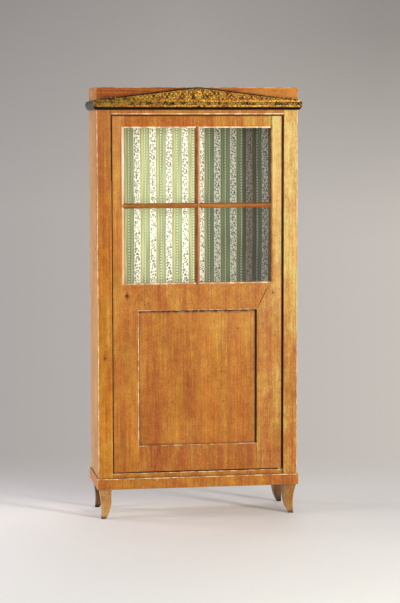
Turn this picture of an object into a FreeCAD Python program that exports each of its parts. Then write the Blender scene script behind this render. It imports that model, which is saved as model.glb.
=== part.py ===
import FreeCAD
import Part
import math
import os

# Display cabinet with one glazed and panelled door on four sabre feet.
# Millimetres. X runs to the right, Y to the back, Z up, and the origin is on
# the floor under the middle of the whole cabinet.

Vec = FreeCAD.Vector

# Case
case_width = 872.0
case_depth = 310.0
side_thickness = 20.0
stile_width = 62.0
top_rail_height = 41.0
bottom_rail_height = 21.0
bottom_rail_setback = 4.0
board_thickness = 20.0
back_thickness = 12.0
back_board_count = 3
back_lap = 10.0
back_rebate = 10.0
housing_depth = 8.0
tongue_thickness = 8.0
tongue_length = 8.0
case_tenon_length = 25.0
case_tenon_thickness = 10.0
case_tenon_shoulder = 4.0
joint_clearance = 0.2
edge_tolerance = 0.05
corner_arris = 2.0
small_arris = 1.0

# Base
leg_height = 130.0
leg_width = 54.0
leg_inset = 2.0
leg_straight = 50.0
leg_waist = 12.5
leg_waist_height = 50.0
leg_tenon_width = 24.0
leg_tenon_length = 34.0
toe_width = 18.0
toe_inset = 10.5
plinth_height = 47.0
plinth_thickness = 24.0
plinth_reach = 6.5
corner_block_width = 46.0

# Attic, cornice and pediment
attic_height = 76.0
attic_thickness = 20.0
attic_back_thickness = 16.0
lid_thickness = 10.0
lid_rebate = 8.0
cornice_reach = 17.0
cornice_height = 39.0
cornice_shelf = 9.0
cornice_sill = 5.0
cornice_bulge_height = 25.0
cornice_rail_reveal = 21.0
pediment_thickness = 8.0
pediment_end_height = 3.0
pediment_apex_width = 24.0

# Door frame
door_height = 1537.0
door_thickness = 24.0
door_recess = 9.0
door_gap = 4.0
upper_stile_width = 51.25
lower_stile_width = 111.0
door_top_rail_height = 52.0
door_middle_rail_height = 119.5
door_bottom_rail_height = 114.5
panel_height = 586.0
panel_recess = 9.0
panel_thickness = 10.0
panel_groove = 10.0
panel_play = 2.0
door_tenon_thickness = 8.0
door_tenon_length = 32.0
middle_tenon_reach = 10.0
tenon_margin = 5.0

# Glazing
sticking_width = 10.0
sticking_depth = 3.6
glass_seat = 12.0
glass_rebate = 8.0
glass_thickness = 2.0
glass_play = 1.0
bar_width = 22.0
bar_crown = 6.0
bar_fin_thickness = 6.0
bead_depth = 8.0
bead_lip = 3.0

# Inside fittings
shelf_thickness = 18.0
shelf_play = 0.5
shelf_clearance = 3.0
middle_shelf_drop = 47.5
cleat_size = 18.0
cleat_setback = 12.0
cleat_chamfer = 9.0
stop_clearance = 0.3
stop_thickness = 12.0
stop_overlap = 10.0
stop_landing = 14.0
stop_pivot_room = 16.0
lining_thickness = 1.0
lining_clearance = 0.3

# Pivot hinges
pivot_from_edge = 13.0
pivot_from_face = 7.0
pin_radius = 3.0
pin_clearance = 0.05
pin_length = 9.5
pin_hole_clearance = 0.6
pivot_plate_length = 42.0
pivot_plate_width = 14.0
pivot_plate_thickness = 2.5
pivot_plate_lead = 9.0
pivot_plate_margin = 4.6
pivot_screw_lead = 12.6
pivot_screw_pitch = 11.0
pivot_screw_count = 2
washer_radius = 6.5
washer_play = 0.1

# Lock
key_backset = 62.5
key_drop = 55.0
keyhole_radius = 3.5
keyhole_slot = 4.8
keyhole_rise = 4.0
keyhole_fall = 7.0
lock_below = 30.0
lock_above = 32.0
lock_tail = 13.0
lock_sheet = 1.5
lock_plate_thickness = 2.0
lock_plate_lap = 10.0
lock_screw_inset = 20.0
bolt_rise = 9.0
bolt_height = 18.0
bolt_thickness = 7.0
bolt_head_length = 20.0
bolt_tail_height = 12.0
bolt_notch = 9.0
bolt_notch_depth = 4.0
bolt_throw = 10.0
bolt_clearance = 0.3
spring_thickness = 1.0
spring_width = 5.0
strike_thickness = 1.5
strike_margin = 12.0
strike_lip = 3.5
strike_clearance = 0.6
escutcheon_width = 26.0
escutcheon_height = 46.0
escutcheon_thickness = 1.5

# Countersunk wood screws, with flat sides in place of the round
screw_sides = 8
screw_head_radius = 3.2
screw_shank_radius = 1.5
screw_length = 13.0
screw_slot_width = 0.8
screw_slot_depth = 0.8
screw_clearance = 0.1

# Places that follow from the sizes
half = case_width / 2
front = (cornice_reach - case_depth) / 2
back = front + case_depth
mid_depth = (front + back) / 2
case_bottom = leg_height + plinth_height
opening_bottom = case_bottom + bottom_rail_height
opening_top = opening_bottom + door_height + 2 * door_gap
case_top = opening_top + top_rail_height
attic_top = case_top + attic_height
cornice_bottom = opening_top + cornice_rail_reveal
cornice_top = cornice_bottom + cornice_height
stile_back = front + door_recess + door_thickness + stop_clearance
opening_half = half - stile_width
inner_half = half - side_thickness
board_back = back - back_thickness
ceiling = case_top - board_thickness
rebate_half = inner_half + back_rebate

door_front = front + door_recess
door_back = door_front + door_thickness
door_half = opening_half - door_gap
door_bottom = opening_bottom + door_gap
door_top = door_bottom + door_height
glass_half = door_half - upper_stile_width
panel_half = door_half - lower_stile_width
panel_bottom = door_bottom + door_bottom_rail_height
panel_top = panel_bottom + panel_height
glass_bottom = panel_top + door_middle_rail_height
glass_top = door_top - door_top_rail_height
glass_middle = (glass_bottom + glass_top) / 2
seat = door_front + glass_seat
bead_front = seat + glass_thickness
bead_back = bead_front + bead_depth
tenon_front = door_front + (door_thickness - door_tenon_thickness) / 2
tenon_back = tenon_front + door_tenon_thickness

shelf_front = stile_back + stop_thickness + shelf_clearance
middle_shelf_top = glass_bottom - middle_shelf_drop
lower_shelf_top = (opening_bottom + middle_shelf_top) / 2
shelf_half = inner_half - shelf_play

pivot_x = door_half - pivot_from_edge
pivot_y = door_front + pivot_from_face
plate_right = pivot_x + pivot_plate_lead
plate_left = plate_right - pivot_plate_length
plate_front = pivot_y - pivot_plate_margin
plate_back = plate_front + pivot_plate_width

key_x = -door_half + key_backset
key_z = glass_bottom - key_drop
lock_right = key_x + lock_tail
lock_bottom = key_z - lock_below
lock_top = key_z + lock_above
lock_front = tenon_front
lock_plate_front = door_back - lock_plate_thickness
bolt_bottom = key_z + bolt_rise
bolt_top = bolt_bottom + bolt_height
cap_front = lock_front + joint_clearance
bolt_front = (cap_front + lock_sheet + lock_plate_front - bolt_thickness) / 2
bolt_back = bolt_front + bolt_thickness


def block(x0, x1, y0, y1, z0, z1):
    return Part.makeBox(x1 - x0, y1 - y0, z1 - z0, Vec(x0, y0, z0))


def outline(steps, place):
    # A step is a point, or a pair of points for an arc through one to the other.
    edges = []
    start = steps[0]
    for step in steps[1:] + [steps[0]]:
        if isinstance(step[0], tuple):
            edges.append(Part.Arc(place(*start), place(*step[0]), place(*step[1])).toShape())
            start = step[1]
        else:
            edges.append(Part.makeLine(place(*start), place(*step)))
            start = step
    return Part.Wire(edges)


def along_x(steps, x0, x1):
    face = Part.Face(outline(steps, lambda y, z: Vec(x0, y, z)))
    return face.extrude(Vec(x1 - x0, 0, 0))


def along_y(steps, y0, y1):
    face = Part.Face(outline(steps, lambda x, z: Vec(x, y0, z)))
    return face.extrude(Vec(0, y1 - y0, 0))


def along_z(steps, z0, z1):
    face = Part.Face(outline(steps, lambda x, y: Vec(x, y, z0)))
    return face.extrude(Vec(0, 0, z1 - z0))


def mirrored(shape):
    return shape.mirror(Vec(0, 0, 0), Vec(1, 0, 0))


def turned_to_back(shape):
    return shape.mirror(Vec(0, mid_depth, 0), Vec(0, 1, 0))


def eased(shape, size, chosen):
    edges = [edge for edge in shape.Edges if chosen(edge.CenterOfMass)]
    return shape.makeChamfer(size, edges)


def same(a, b):
    return abs(a - b) < edge_tolerance


def plumb_arc(run, rise):
    # Middle of an arc over this run and rise, measured from its upright end.
    radius = (run ** 2 + rise ** 2) / (2 * run)
    angle = math.asin(rise / radius) / 2
    return radius * (1 - math.cos(angle)), radius * math.sin(angle)


def mitred_run(steps, inside, outside, z0, z1):
    # The profile steps give the reach out of the case face and the height.
    near = (half + outside, front - outside)
    far = (half + inside, front - inside)
    run = along_x([step_to(step, lambda u, z: (front - u, z)) for step in steps], -near[0], near[0])
    cut = along_z([(-near[0], near[1]), near, far, (-far[0], far[1])], z0, z1)
    front_piece = run.common(cut)
    run = along_y([step_to(step, lambda u, z: (-half - u, z)) for step in steps], near[1], back)
    cut = along_z([(-near[0], near[1]), (-far[0], far[1]), (-far[0], back), (-near[0], back)], z0, z1)
    left_piece = run.common(cut)
    return front_piece, left_piece, mirrored(left_piece)


def step_to(step, change):
    if isinstance(step[0], tuple):
        return tuple(change(*point) for point in step)
    return change(*step)


def flared(x_half, z0, z1, width, depth):
    # Cutter for a bevelled edge round an opening in the door, mitred at the corners.
    wires = []
    for y, grow in ((door_front - depth, 2 * width), (door_front + depth, 0.0)):
        corners = [(-x_half - grow, z0 - grow), (x_half + grow, z0 - grow),
                   (x_half + grow, z1 + grow), (-x_half - grow, z1 + grow)]
        wires.append(outline(corners, lambda x, z: Vec(x, y, z)))
    return Part.makeLoft(wires, True, True)


def screw(place, drive, grow=0.0):
    # Drive is the unit vector into the wood, and the head is flush at the place.
    head = screw_head_radius + grow
    shank = screw_shank_radius + grow
    neck = head - shank
    rings = []
    for depth, radius in ((0.0, head), (neck, shank), (screw_length + grow, shank)):
        turns = [2 * math.pi * side / screw_sides for side in range(screw_sides)]
        corners = [Vec(radius * math.cos(turn), radius * math.sin(turn), depth) for turn in turns]
        rings.append(corners + corners[:1])
    faces = [Part.Face(Part.makePolygon(ring)) for ring in (rings[0], rings[-1])]
    for upper, lower in zip(rings, rings[1:]):
        for side in range(screw_sides):
            faces.append(Part.Face(Part.makePolygon([upper[side], upper[side + 1], lower[side + 1],
                                                     lower[side], upper[side]])))
    body = Part.Solid(Part.Shell(faces))
    if not grow:
        half_slot = screw_slot_width / 2
        body = body.cut(block(-head, head, -half_slot, half_slot, 0.0, screw_slot_depth))
    body.Placement = FreeCAD.Placement(place, FreeCAD.Rotation(Vec(0, 0, 1), drive))
    return body


def screws(places, drive):
    return [screw(place, drive) for place in places]


def screw_holes(places, drive):
    return [screw(place, drive, screw_clearance) for place in places]


parts = {}

# Sabre legs, sawn to the same curve on two faces, with a square tenon on top
curve_drop = leg_height - leg_straight
curve_in, curve_down = plumb_arc(leg_width - toe_inset - toe_width, curve_drop)
sabre = [(0.0, leg_height),
         ((leg_waist, leg_waist_height), (toe_inset, 0.0)),
         (toe_inset + toe_width, 0.0),
         ((leg_width - curve_in, curve_drop - curve_down), (leg_width, curve_drop)),
         (leg_width, leg_height)]
leg_x = -half + leg_inset
leg_y = front + leg_inset
across = along_y([step_to(step, lambda u, z: (leg_x + u, z)) for step in sabre], leg_y, leg_y + leg_width)
deep = along_x([step_to(step, lambda u, z: (leg_y + u, z)) for step in sabre], leg_x, leg_x + leg_width)
block_x = -half - plinth_reach + plinth_thickness
block_y = front - plinth_reach + plinth_thickness
tenon_x = block_x + (corner_block_width - leg_tenon_width) / 2
tenon_y = block_y + (corner_block_width - leg_tenon_width) / 2
leg_tenon = block(tenon_x, tenon_x + leg_tenon_width, tenon_y, tenon_y + leg_tenon_width,
                  leg_height, leg_height + leg_tenon_length)
leg = across.common(deep).fuse(leg_tenon).removeSplitter()
parts["leg_front_left"] = leg
parts["leg_front_right"] = mirrored(leg)
parts["leg_rear_left"] = turned_to_back(leg)
parts["leg_rear_right"] = mirrored(turned_to_back(leg))

# Blocks glued in the plinth corners, mortised for the leg tenons
corner_block = block(block_x, block_x + corner_block_width, block_y, block_y + corner_block_width,
                     leg_height, case_bottom)
corner_block = corner_block.cut(block(
    tenon_x - joint_clearance, tenon_x + leg_tenon_width + joint_clearance,
    tenon_y - joint_clearance, tenon_y + leg_tenon_width + joint_clearance,
    leg_height, leg_height + leg_tenon_length + joint_clearance))
rear_block = turned_to_back(corner_block)
parts["corner_blocks"] = Part.makeCompound(
    [corner_block, mirrored(corner_block), rear_block, mirrored(rear_block)])

# Plinth band, mitred at the front corners, with its outer arrises eased
plinth_inside = plinth_reach - plinth_thickness
plinth_profile = [(plinth_inside, leg_height), (plinth_reach - corner_arris, leg_height),
                  (plinth_reach, leg_height + corner_arris), (plinth_reach, case_bottom - corner_arris),
                  (plinth_reach - corner_arris, case_bottom), (plinth_inside, case_bottom)]
plinth = mitred_run(plinth_profile, plinth_inside, plinth_reach, leg_height, case_bottom)
parts["plinth_front"], parts["plinth_left"], parts["plinth_right"] = plinth
parts["plinth_back"] = block(block_x, -block_x, back + plinth_inside, back, leg_height, case_bottom)

# Case sides, tongued into the front stiles and housed for the boards
tongue_x = -half + (side_thickness - tongue_thickness) / 2
side = block(-half, -inner_half, stile_back, back, case_bottom, case_top)
side = side.fuse(block(tongue_x, tongue_x + tongue_thickness, stile_back - tongue_length, stile_back,
                       case_bottom, case_top))
for board_top in (opening_bottom, case_top):
    side = side.cut(block(-inner_half - housing_depth, -inner_half, stile_back, board_back,
                          board_top - board_thickness, board_top))
side = side.cut(block(-rebate_half, -inner_half, board_back, back, case_bottom, case_top))
parts["side_left"] = side.removeSplitter()
parts["side_right"] = mirrored(parts["side_left"])

# Top and bottom boards, housed in the sides
for name, board_top in (("top_board", case_top), ("bottom_board", opening_bottom)):
    parts[name] = block(-inner_half - housing_depth, inner_half + housing_depth, stile_back, board_back,
                        board_top - board_thickness, board_top)

# Front stiles, grooved at the back for the side tongues
groove_x = tongue_x - joint_clearance
groove_end = tongue_x + tongue_thickness + joint_clearance
groove_y = stile_back - tongue_length - joint_clearance
stile_plan = [(-half, stile_back), (-half, front + corner_arris), (-half + corner_arris, front),
              (-opening_half - small_arris, front), (-opening_half, front + small_arris),
              (-opening_half, stile_back), (groove_end, stile_back), (groove_end, groove_y),
              (groove_x, groove_y), (groove_x, stile_back)]
stile = along_z(stile_plan, case_bottom, case_top)

# Case rails, tenoned into the stiles
case_tenon_y = (front + stile_back - case_tenon_thickness) / 2
rails = {}
for name, z0, z1, setback in (("top_rail", opening_top, case_top, 0.0),
                              ("bottom_rail", case_bottom, opening_bottom, bottom_rail_setback)):
    reach = opening_half + case_tenon_length
    z_low = z0 + case_tenon_shoulder
    z_high = z1 - case_tenon_shoulder
    tenon = block(-reach, reach, case_tenon_y, case_tenon_y + case_tenon_thickness, z_low, z_high)
    rails[name] = block(-opening_half, opening_half, front + setback, stile_back, z0, z1).fuse(tenon)
    stile = stile.cut(block(-reach - joint_clearance, -opening_half, case_tenon_y - joint_clearance,
                            case_tenon_y + case_tenon_thickness + joint_clearance,
                            z_low - joint_clearance, z_high + joint_clearance))
parts["stile_right"] = mirrored(stile)

# Back of vertical boards, lapped over each other, in the rebates of the sides
board_step = 2 * rebate_half / back_board_count
board_mid = board_back + back_thickness / 2
for number in range(back_board_count):
    x0 = -rebate_half + number * board_step
    x1 = x0 + board_step
    lap_start = back_lap + joint_clearance if number else 0.0
    lap_end = back_lap if number < back_board_count - 1 else 0.0
    clear = joint_clearance if number else 0.0
    inner = block(x0 + lap_start, x1 + lap_end, board_back, board_mid, case_bottom, case_top)
    outer = block(x0 + clear, x1, board_mid, back, case_bottom, case_top)
    parts["back_board_%d" % (number + 1)] = inner.fuse(outer).removeSplitter()

# Shelves on cleats
for name, shelf_top in (("middle_shelf", middle_shelf_top), ("lower_shelf", lower_shelf_top)):
    parts[name] = block(-shelf_half, shelf_half, shelf_front, board_back - shelf_play,
                        shelf_top - shelf_thickness, shelf_top)
cleats = []
for shelf_top in (middle_shelf_top, lower_shelf_top):
    cleat_top = shelf_top - shelf_thickness
    cleat = eased(block(-inner_half, -inner_half + cleat_size, shelf_front + cleat_setback, board_back,
                        cleat_top - cleat_size, cleat_top), cleat_chamfer,
                  lambda p: same(p.x, -inner_half + cleat_size) and same(p.z, cleat_top - cleat_size))
    cleats += [cleat, mirrored(cleat)]
parts["shelf_cleats"] = Part.makeCompound(cleats)

# Stops for the door behind the left stile and the top rail, the upper one clear of the pivot
stop_back = stile_back + stop_thickness
parts["door_stop"] = block(-opening_half - stop_landing, -opening_half + stop_overlap,
                           stile_back, stop_back, opening_bottom, ceiling)
parts["door_stop_top"] = block(-opening_half + stop_overlap, pivot_x - stop_pivot_room,
                               stile_back, stop_back, opening_top - stop_overlap, ceiling)

# Fabric on the back and sides of the display compartment
lining_back = board_back - lining_clearance
lining_front = lining_back - lining_thickness
lining_side = inner_half - lining_clearance
lining_low = middle_shelf_top + lining_clearance
lining_high = ceiling - lining_clearance
side_cloth = block(-lining_side, -lining_side + lining_thickness, stile_back + lining_clearance,
                   lining_front - lining_clearance, lining_low, lining_high)
parts["fabric_lining"] = Part.makeCompound([
    block(-lining_side, lining_side, lining_front, lining_back, lining_low, lining_high),
    side_cloth, mirrored(side_cloth)])

# Attic frame, mitred at the front corners and rebated for the lid
attic_profile = [(-attic_thickness, case_top), (0.0, case_top), (0.0, attic_top - corner_arris),
                 (-corner_arris, attic_top), (-attic_thickness, attic_top)]
attic = mitred_run(attic_profile, -attic_thickness, 0.0, case_top, attic_top)
attic_half = half - attic_thickness
attic_back = block(-attic_half, attic_half, back - attic_back_thickness, back, case_top, attic_top)
lid = block(-attic_half - lid_rebate, attic_half + lid_rebate, front + attic_thickness - lid_rebate,
            back - attic_back_thickness + lid_rebate, attic_top - lid_thickness, attic_top)
for name, board in zip(("attic_front", "attic_left", "attic_right", "attic_back"), attic + (attic_back,)):
    parts[name] = board.cut(lid)
parts["attic_lid"] = lid

# Cornice, a swelling torus in three mitred lengths over the joint of case and attic
bulge = cornice_bottom + cornice_bulge_height
lower_in, lower_down = plumb_arc(cornice_reach - cornice_sill, cornice_bulge_height)
upper_in, upper_up = plumb_arc(cornice_reach - cornice_shelf, cornice_height - cornice_bulge_height)
cornice_profile = [(0.0, cornice_bottom), (cornice_sill, cornice_bottom),
                   ((cornice_reach - lower_in, bulge - lower_down), (cornice_reach, bulge)),
                   ((cornice_reach - upper_in, bulge + upper_up), (cornice_shelf, cornice_top)),
                   (0.0, cornice_top)]
cornice = mitred_run(cornice_profile, 0.0, cornice_reach, cornice_bottom, cornice_top)
parts["cornice_front"], parts["cornice_left"], parts["cornice_right"] = cornice

# Pediment, a low gable standing on the cornice against the attic
apex = pediment_apex_width / 2
gable = [(-half, cornice_top), (half, cornice_top), (half, cornice_top + pediment_end_height),
         (apex, attic_top), (-apex, attic_top), (-half, cornice_top + pediment_end_height)]
pediment_front = front - pediment_thickness
parts["pediment"] = eased(along_y(gable, pediment_front, front), small_arris,
                          lambda p: same(p.y, pediment_front) and not same(p.z, cornice_top)
                          and not same(abs(p.x), half))

# Door stiles of gunstock form, wide beside the panel and narrow beside the glass
glass_way = block(-glass_half - glass_rebate, glass_half + glass_rebate, seat, door_back,
                  glass_bottom - glass_rebate, glass_top + glass_rebate)
panel_front = door_front + panel_recess
panel_back = panel_front + panel_thickness
panel_way = block(-panel_half - panel_groove, panel_half + panel_groove, panel_front, panel_back,
                  panel_bottom - panel_groove, panel_top + panel_groove)
openings = [glass_way, panel_way,
            flared(glass_half, glass_bottom, glass_top, sticking_width, sticking_depth),
            flared(panel_half, panel_bottom, panel_top, small_arris, small_arris)]
door_stile = along_y([(-door_half, door_bottom), (-panel_half, door_bottom), (-panel_half, panel_top),
                      (-glass_half, glass_bottom), (-glass_half, door_top), (-door_half, door_top)],
                     door_front, door_back)
door_stile = door_stile.cut(openings)

# Door rails, tenoned into the stiles, the middle one with sloping shoulders
tenon_low = glass_rebate + tenon_margin
groove_low = panel_groove + tenon_margin
screw_low = screw_length + tenon_margin
door_rails = {
    "door_top_rail": ([(-glass_half, glass_top), (glass_half, glass_top), (glass_half, door_top),
                       (-glass_half, door_top)],
                      glass_half + door_tenon_length, glass_top + tenon_low, door_top - screw_low),
    "door_middle_rail": ([(-panel_half, panel_top), (panel_half, panel_top), (glass_half, glass_bottom),
                          (-glass_half, glass_bottom)],
                         glass_half + middle_tenon_reach, panel_top + groove_low, glass_bottom - tenon_low),
    "door_bottom_rail": ([(-panel_half, door_bottom), (panel_half, door_bottom), (panel_half, panel_bottom),
                          (-panel_half, panel_bottom)],
                         panel_half + door_tenon_length, door_bottom + screw_low, panel_bottom - groove_low)}
for name, (shape, reach, z_low, z_high) in door_rails.items():
    tenon = block(-reach, reach, tenon_front, tenon_back, z_low, z_high)
    mortise = block(-reach - joint_clearance, reach + joint_clearance, tenon_front, tenon_back,
                    z_low - joint_clearance, z_high + joint_clearance)
    door_rails[name] = along_y(shape, door_front, door_back).cut(openings).fuse(tenon).removeSplitter()
    door_stile = door_stile.cut(mortise)
door_stile = eased(door_stile, small_arris, lambda p: same(p.y, door_front) and same(p.x, -door_half))
parts["door_top_rail"] = eased(door_rails["door_top_rail"], small_arris,
                               lambda p: same(p.y, door_front) and same(p.z, door_top))
parts["door_bottom_rail"] = eased(door_rails["door_bottom_rail"], small_arris,
                                  lambda p: same(p.y, door_front) and same(p.z, door_bottom))

# Flat panel, loose in the grooves
panel_edge = panel_groove - panel_play
parts["door_panel"] = block(-panel_half - panel_edge, panel_half + panel_edge, panel_front, panel_back,
                            panel_bottom - panel_edge, panel_top + panel_edge)

# Glazing bars of rounded section with a fin behind, mitred where they cross
fin = bar_fin_thickness / 2
bar_section = [(-bar_width / 2, door_front + bar_crown),
               ((0.0, door_front), (bar_width / 2, door_front + bar_crown)),
               (bar_width / 2, seat), (fin, seat), (fin, bead_back), (-fin, bead_back),
               (-fin, seat), (-bar_width / 2, seat)]
bar_reach = max(glass_rebate, sticking_width)
upright = along_z(bar_section, glass_bottom - bar_reach, glass_top + bar_reach)
wedge = along_y([(-fin, glass_middle - fin), (-fin, glass_middle + fin),
                 (-bar_width, glass_middle + bar_width), (-bar_width, glass_middle - bar_width)],
                door_front, seat)
upright = upright.cut([wedge, mirrored(wedge), door_rails["door_top_rail"], door_rails["door_middle_rail"]])
parts["muntin_vertical"] = upright
cross = along_x([step_to(step, lambda u, y: (y, glass_middle + u)) for step in bar_section],
                -glass_half - bar_reach, -fin)
cross = cross.cut([upright, door_stile])
parts["muntin_left"] = cross
parts["muntin_right"] = mirrored(cross)

# Panes, bedded in the rebates and held by butted beads
beads = []
for row, z0, z1 in (("upper", glass_middle + fin, glass_top + glass_rebate),
                    ("lower", glass_bottom - glass_rebate, glass_middle - fin)):
    x0 = -glass_half - glass_rebate
    x1 = -fin
    pane = block(x0 + glass_play, x1 - glass_play, seat, bead_front, z0 + glass_play, z1 - glass_play)
    parts["pane_%s_left" % row] = pane
    parts["pane_%s_right" % row] = mirrored(pane)
    section = [(0.0, bead_front), (glass_rebate, bead_front), (glass_rebate, bead_front + bead_lip),
               (bead_lip, bead_back), (0.0, bead_back)]
    light = [along_z([(x0 + u, y) for u, y in section], z0, z1),
             along_z([(x1 - u, y) for u, y in section], z0, z1),
             along_x([(y, z0 + u) for u, y in section], x0 + glass_rebate, x1 - glass_rebate),
             along_x([(y, z1 - u) for u, y in section], x0 + glass_rebate, x1 - glass_rebate)]
    beads += light + [mirrored(bead) for bead in light]
parts["glazing_beads"] = Part.makeCompound(beads)

# Pivot hinges: a plate with a pin in each end of the door, a plate with a socket in each case rail
door_plates = []
case_plates = []
door_screws = []
case_screws = []
hinge_stile = mirrored(door_stile)
for rail_name, door_end, case_end, up in (("top_rail", door_top, opening_top, 1.0),
                                          ("bottom_rail", door_bottom, opening_bottom, -1.0)):
    inward = Vec(0, 0, -up)
    outward = Vec(0, 0, up)
    door_axis = Vec(pivot_x, pivot_y, door_end)
    case_axis = Vec(pivot_x, pivot_y, case_end)
    beds = []
    for end, into in ((door_end, -up), (case_end, up)):
        low, high = sorted((end, end + into * pivot_plate_thickness))
        beds.append(block(plate_left, plate_right, plate_front, plate_back, low, high))
    door_bed, case_bed = beds
    pin = Part.makeCylinder(pin_radius, pin_length, door_axis, outward)
    pin_hole = Part.makeCylinder(pin_radius + pin_hole_clearance, pin_length, case_axis, outward)
    socket = Part.makeCylinder(pin_radius + pin_clearance, pivot_plate_thickness, case_axis, outward)
    screw_y = (plate_front + plate_back) / 2
    spots = [pivot_x - pivot_screw_lead - number * pivot_screw_pitch for number in range(pivot_screw_count)]
    door_spots = [Vec(x, screw_y, door_end) for x in spots]
    case_spots = [Vec(x, screw_y, case_end) for x in spots]
    door_holes = screw_holes(door_spots, inward)
    case_holes = screw_holes(case_spots, outward)
    hinge_stile = hinge_stile.cut([door_bed] + door_holes)
    rails[rail_name] = rails[rail_name].cut([case_bed, pin_hole] + case_holes)
    door_plates.append(door_bed.fuse(pin).cut(door_holes))
    case_plates.append(case_bed.cut([socket] + case_holes))
    door_screws += screws(door_spots, inward)
    case_screws += screws(case_spots, outward)
parts["door_hinge_stile"] = hinge_stile
parts["top_rail"] = rails["top_rail"].removeSplitter()
parts["bottom_rail"] = rails["bottom_rail"].removeSplitter()
parts["door_pivots"] = Part.makeCompound(door_plates)
parts["case_pivots"] = Part.makeCompound(case_plates)
washer_foot = Vec(pivot_x, pivot_y, opening_bottom)
washer = Part.makeCylinder(washer_radius, door_gap - washer_play, washer_foot)
parts["pivot_washer"] = washer.cut(Part.makeCylinder(pin_radius + pin_clearance, door_gap, washer_foot))

# Lock let into the back and edge of the lock stile, with a keyhole through its front
keyhole_top = key_z + keyhole_rise
keyhole = Part.makeCylinder(keyhole_radius, door_thickness - lock_plate_thickness,
                            Vec(key_x, door_front, keyhole_top), Vec(0, 1, 0))
keyhole = keyhole.fuse(block(key_x - keyhole_slot / 2, key_x + keyhole_slot / 2, door_front, lock_plate_front,
                             key_z - keyhole_fall, keyhole_top))
lozenge = along_y([(key_x - escutcheon_width / 2, key_z), (key_x, key_z - escutcheon_height / 2),
                   (key_x + escutcheon_width / 2, key_z), (key_x, key_z + escutcheon_height / 2)],
                  door_front, door_front + escutcheon_thickness)
pocket = block(-door_half, lock_right + joint_clearance, lock_front, door_back,
               lock_bottom - joint_clearance, lock_top + joint_clearance)
plate_bed = block(-door_half, lock_right + lock_plate_lap, lock_plate_front, door_back,
                  lock_bottom - lock_plate_lap, lock_top + lock_plate_lap)
forend = block(-door_half, -door_half + lock_plate_thickness, lock_front, door_back,
               lock_bottom - lock_plate_lap, lock_top + lock_plate_lap)
bolt_way = block(-door_half, lock_right - lock_sheet, bolt_front - bolt_clearance, bolt_back + bolt_clearance,
                 bolt_bottom - bolt_clearance, bolt_top + bolt_clearance)
lock_spots = [Vec(x, door_back, z)
              for x in (-door_half + lock_screw_inset, lock_right)
              for z in (lock_bottom - lock_plate_lap / 2, lock_top + lock_plate_lap / 2)]
lock_holes = screw_holes(lock_spots, Vec(0, -1, 0))
door_screws += screws(lock_spots, Vec(0, -1, 0))
lock_cut = [pocket, plate_bed, forend, lozenge, keyhole] + lock_holes
parts["door_lock_stile"] = door_stile.cut(lock_cut).removeSplitter()
parts["door_middle_rail"] = door_rails["door_middle_rail"].cut(lock_cut).removeSplitter()
parts["escutcheon"] = lozenge.cut(keyhole)
parts["lock_plate"] = plate_bed.fuse(forend).cut([bolt_way] + lock_holes).removeSplitter()
cap_left = -door_half + lock_plate_thickness
cap = block(cap_left, lock_right, cap_front, lock_plate_front, lock_bottom, lock_top)
cap = cap.cut(block(cap_left + lock_sheet, lock_right - lock_sheet, cap_front + lock_sheet,
                    lock_plate_front, lock_bottom + lock_sheet, lock_top - lock_sheet))
parts["lock_cap"] = cap.cut([keyhole, bolt_way])
parts["door_screws"] = Part.makeCompound(door_screws)

# Bolt, at rest drawn back flush with the door edge, and the leaf spring that presses on it
tail_end = key_x + bolt_notch
head_end = -door_half + bolt_head_length
tail_bottom = bolt_top - bolt_tail_height
notch_top = tail_bottom + bolt_notch_depth
parts["lock_bolt"] = along_y([(-door_half, bolt_bottom), (head_end, bolt_bottom), (head_end, tail_bottom),
                              (key_x - bolt_notch / 2, tail_bottom), (key_x - bolt_notch / 2, notch_top),
                              (key_x + bolt_notch / 2, notch_top), (key_x + bolt_notch / 2, tail_bottom),
                              (tail_end, tail_bottom), (tail_end, bolt_top), (-door_half, bolt_top)],
                             bolt_front, bolt_back)
spring_end = lock_right - lock_sheet
spring_high = lock_top - lock_sheet - spring_thickness
spring_low = bolt_top + bolt_clearance
spring_y = (bolt_front + bolt_back - spring_width) / 2
parts["lock_spring"] = along_y([(head_end, spring_low), (spring_end, spring_high),
                                (spring_end, spring_high + spring_thickness),
                                (head_end, spring_low + spring_thickness)], spring_y, spring_y + spring_width)

# Strike plate in the left stile, with the mortise that takes the bolt
strike_bed = block(-opening_half - strike_thickness, -opening_half,
                   bolt_front - strike_lip, bolt_back + strike_lip,
                   bolt_bottom - strike_margin, bolt_top + strike_margin)
bolt_mortise = block(-opening_half - bolt_throw, -opening_half,
                     bolt_front - strike_clearance, bolt_back + strike_clearance,
                     bolt_bottom - strike_clearance, bolt_top + strike_clearance)
strike_y = (bolt_front + bolt_back) / 2
strike_spots = [Vec(-opening_half, strike_y, bolt_bottom - strike_margin / 2),
                Vec(-opening_half, strike_y, bolt_top + strike_margin / 2)]
strike_holes = screw_holes(strike_spots, Vec(-1, 0, 0))
parts["stile_left"] = stile.cut([strike_bed, bolt_mortise] + strike_holes).removeSplitter()
parts["strike_plate"] = strike_bed.cut([bolt_mortise] + strike_holes)
parts["case_screws"] = Part.makeCompound(case_screws + screws(strike_spots, Vec(-1, 0, 0)))

os.makedirs("parts", exist_ok=True)
for name, shape in parts.items():
    shape.exportStep("parts/%s.step" % name)
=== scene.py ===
import bmesh
import bpy
import math
from functools import partial
from mathutils import Matrix, Vector


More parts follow.
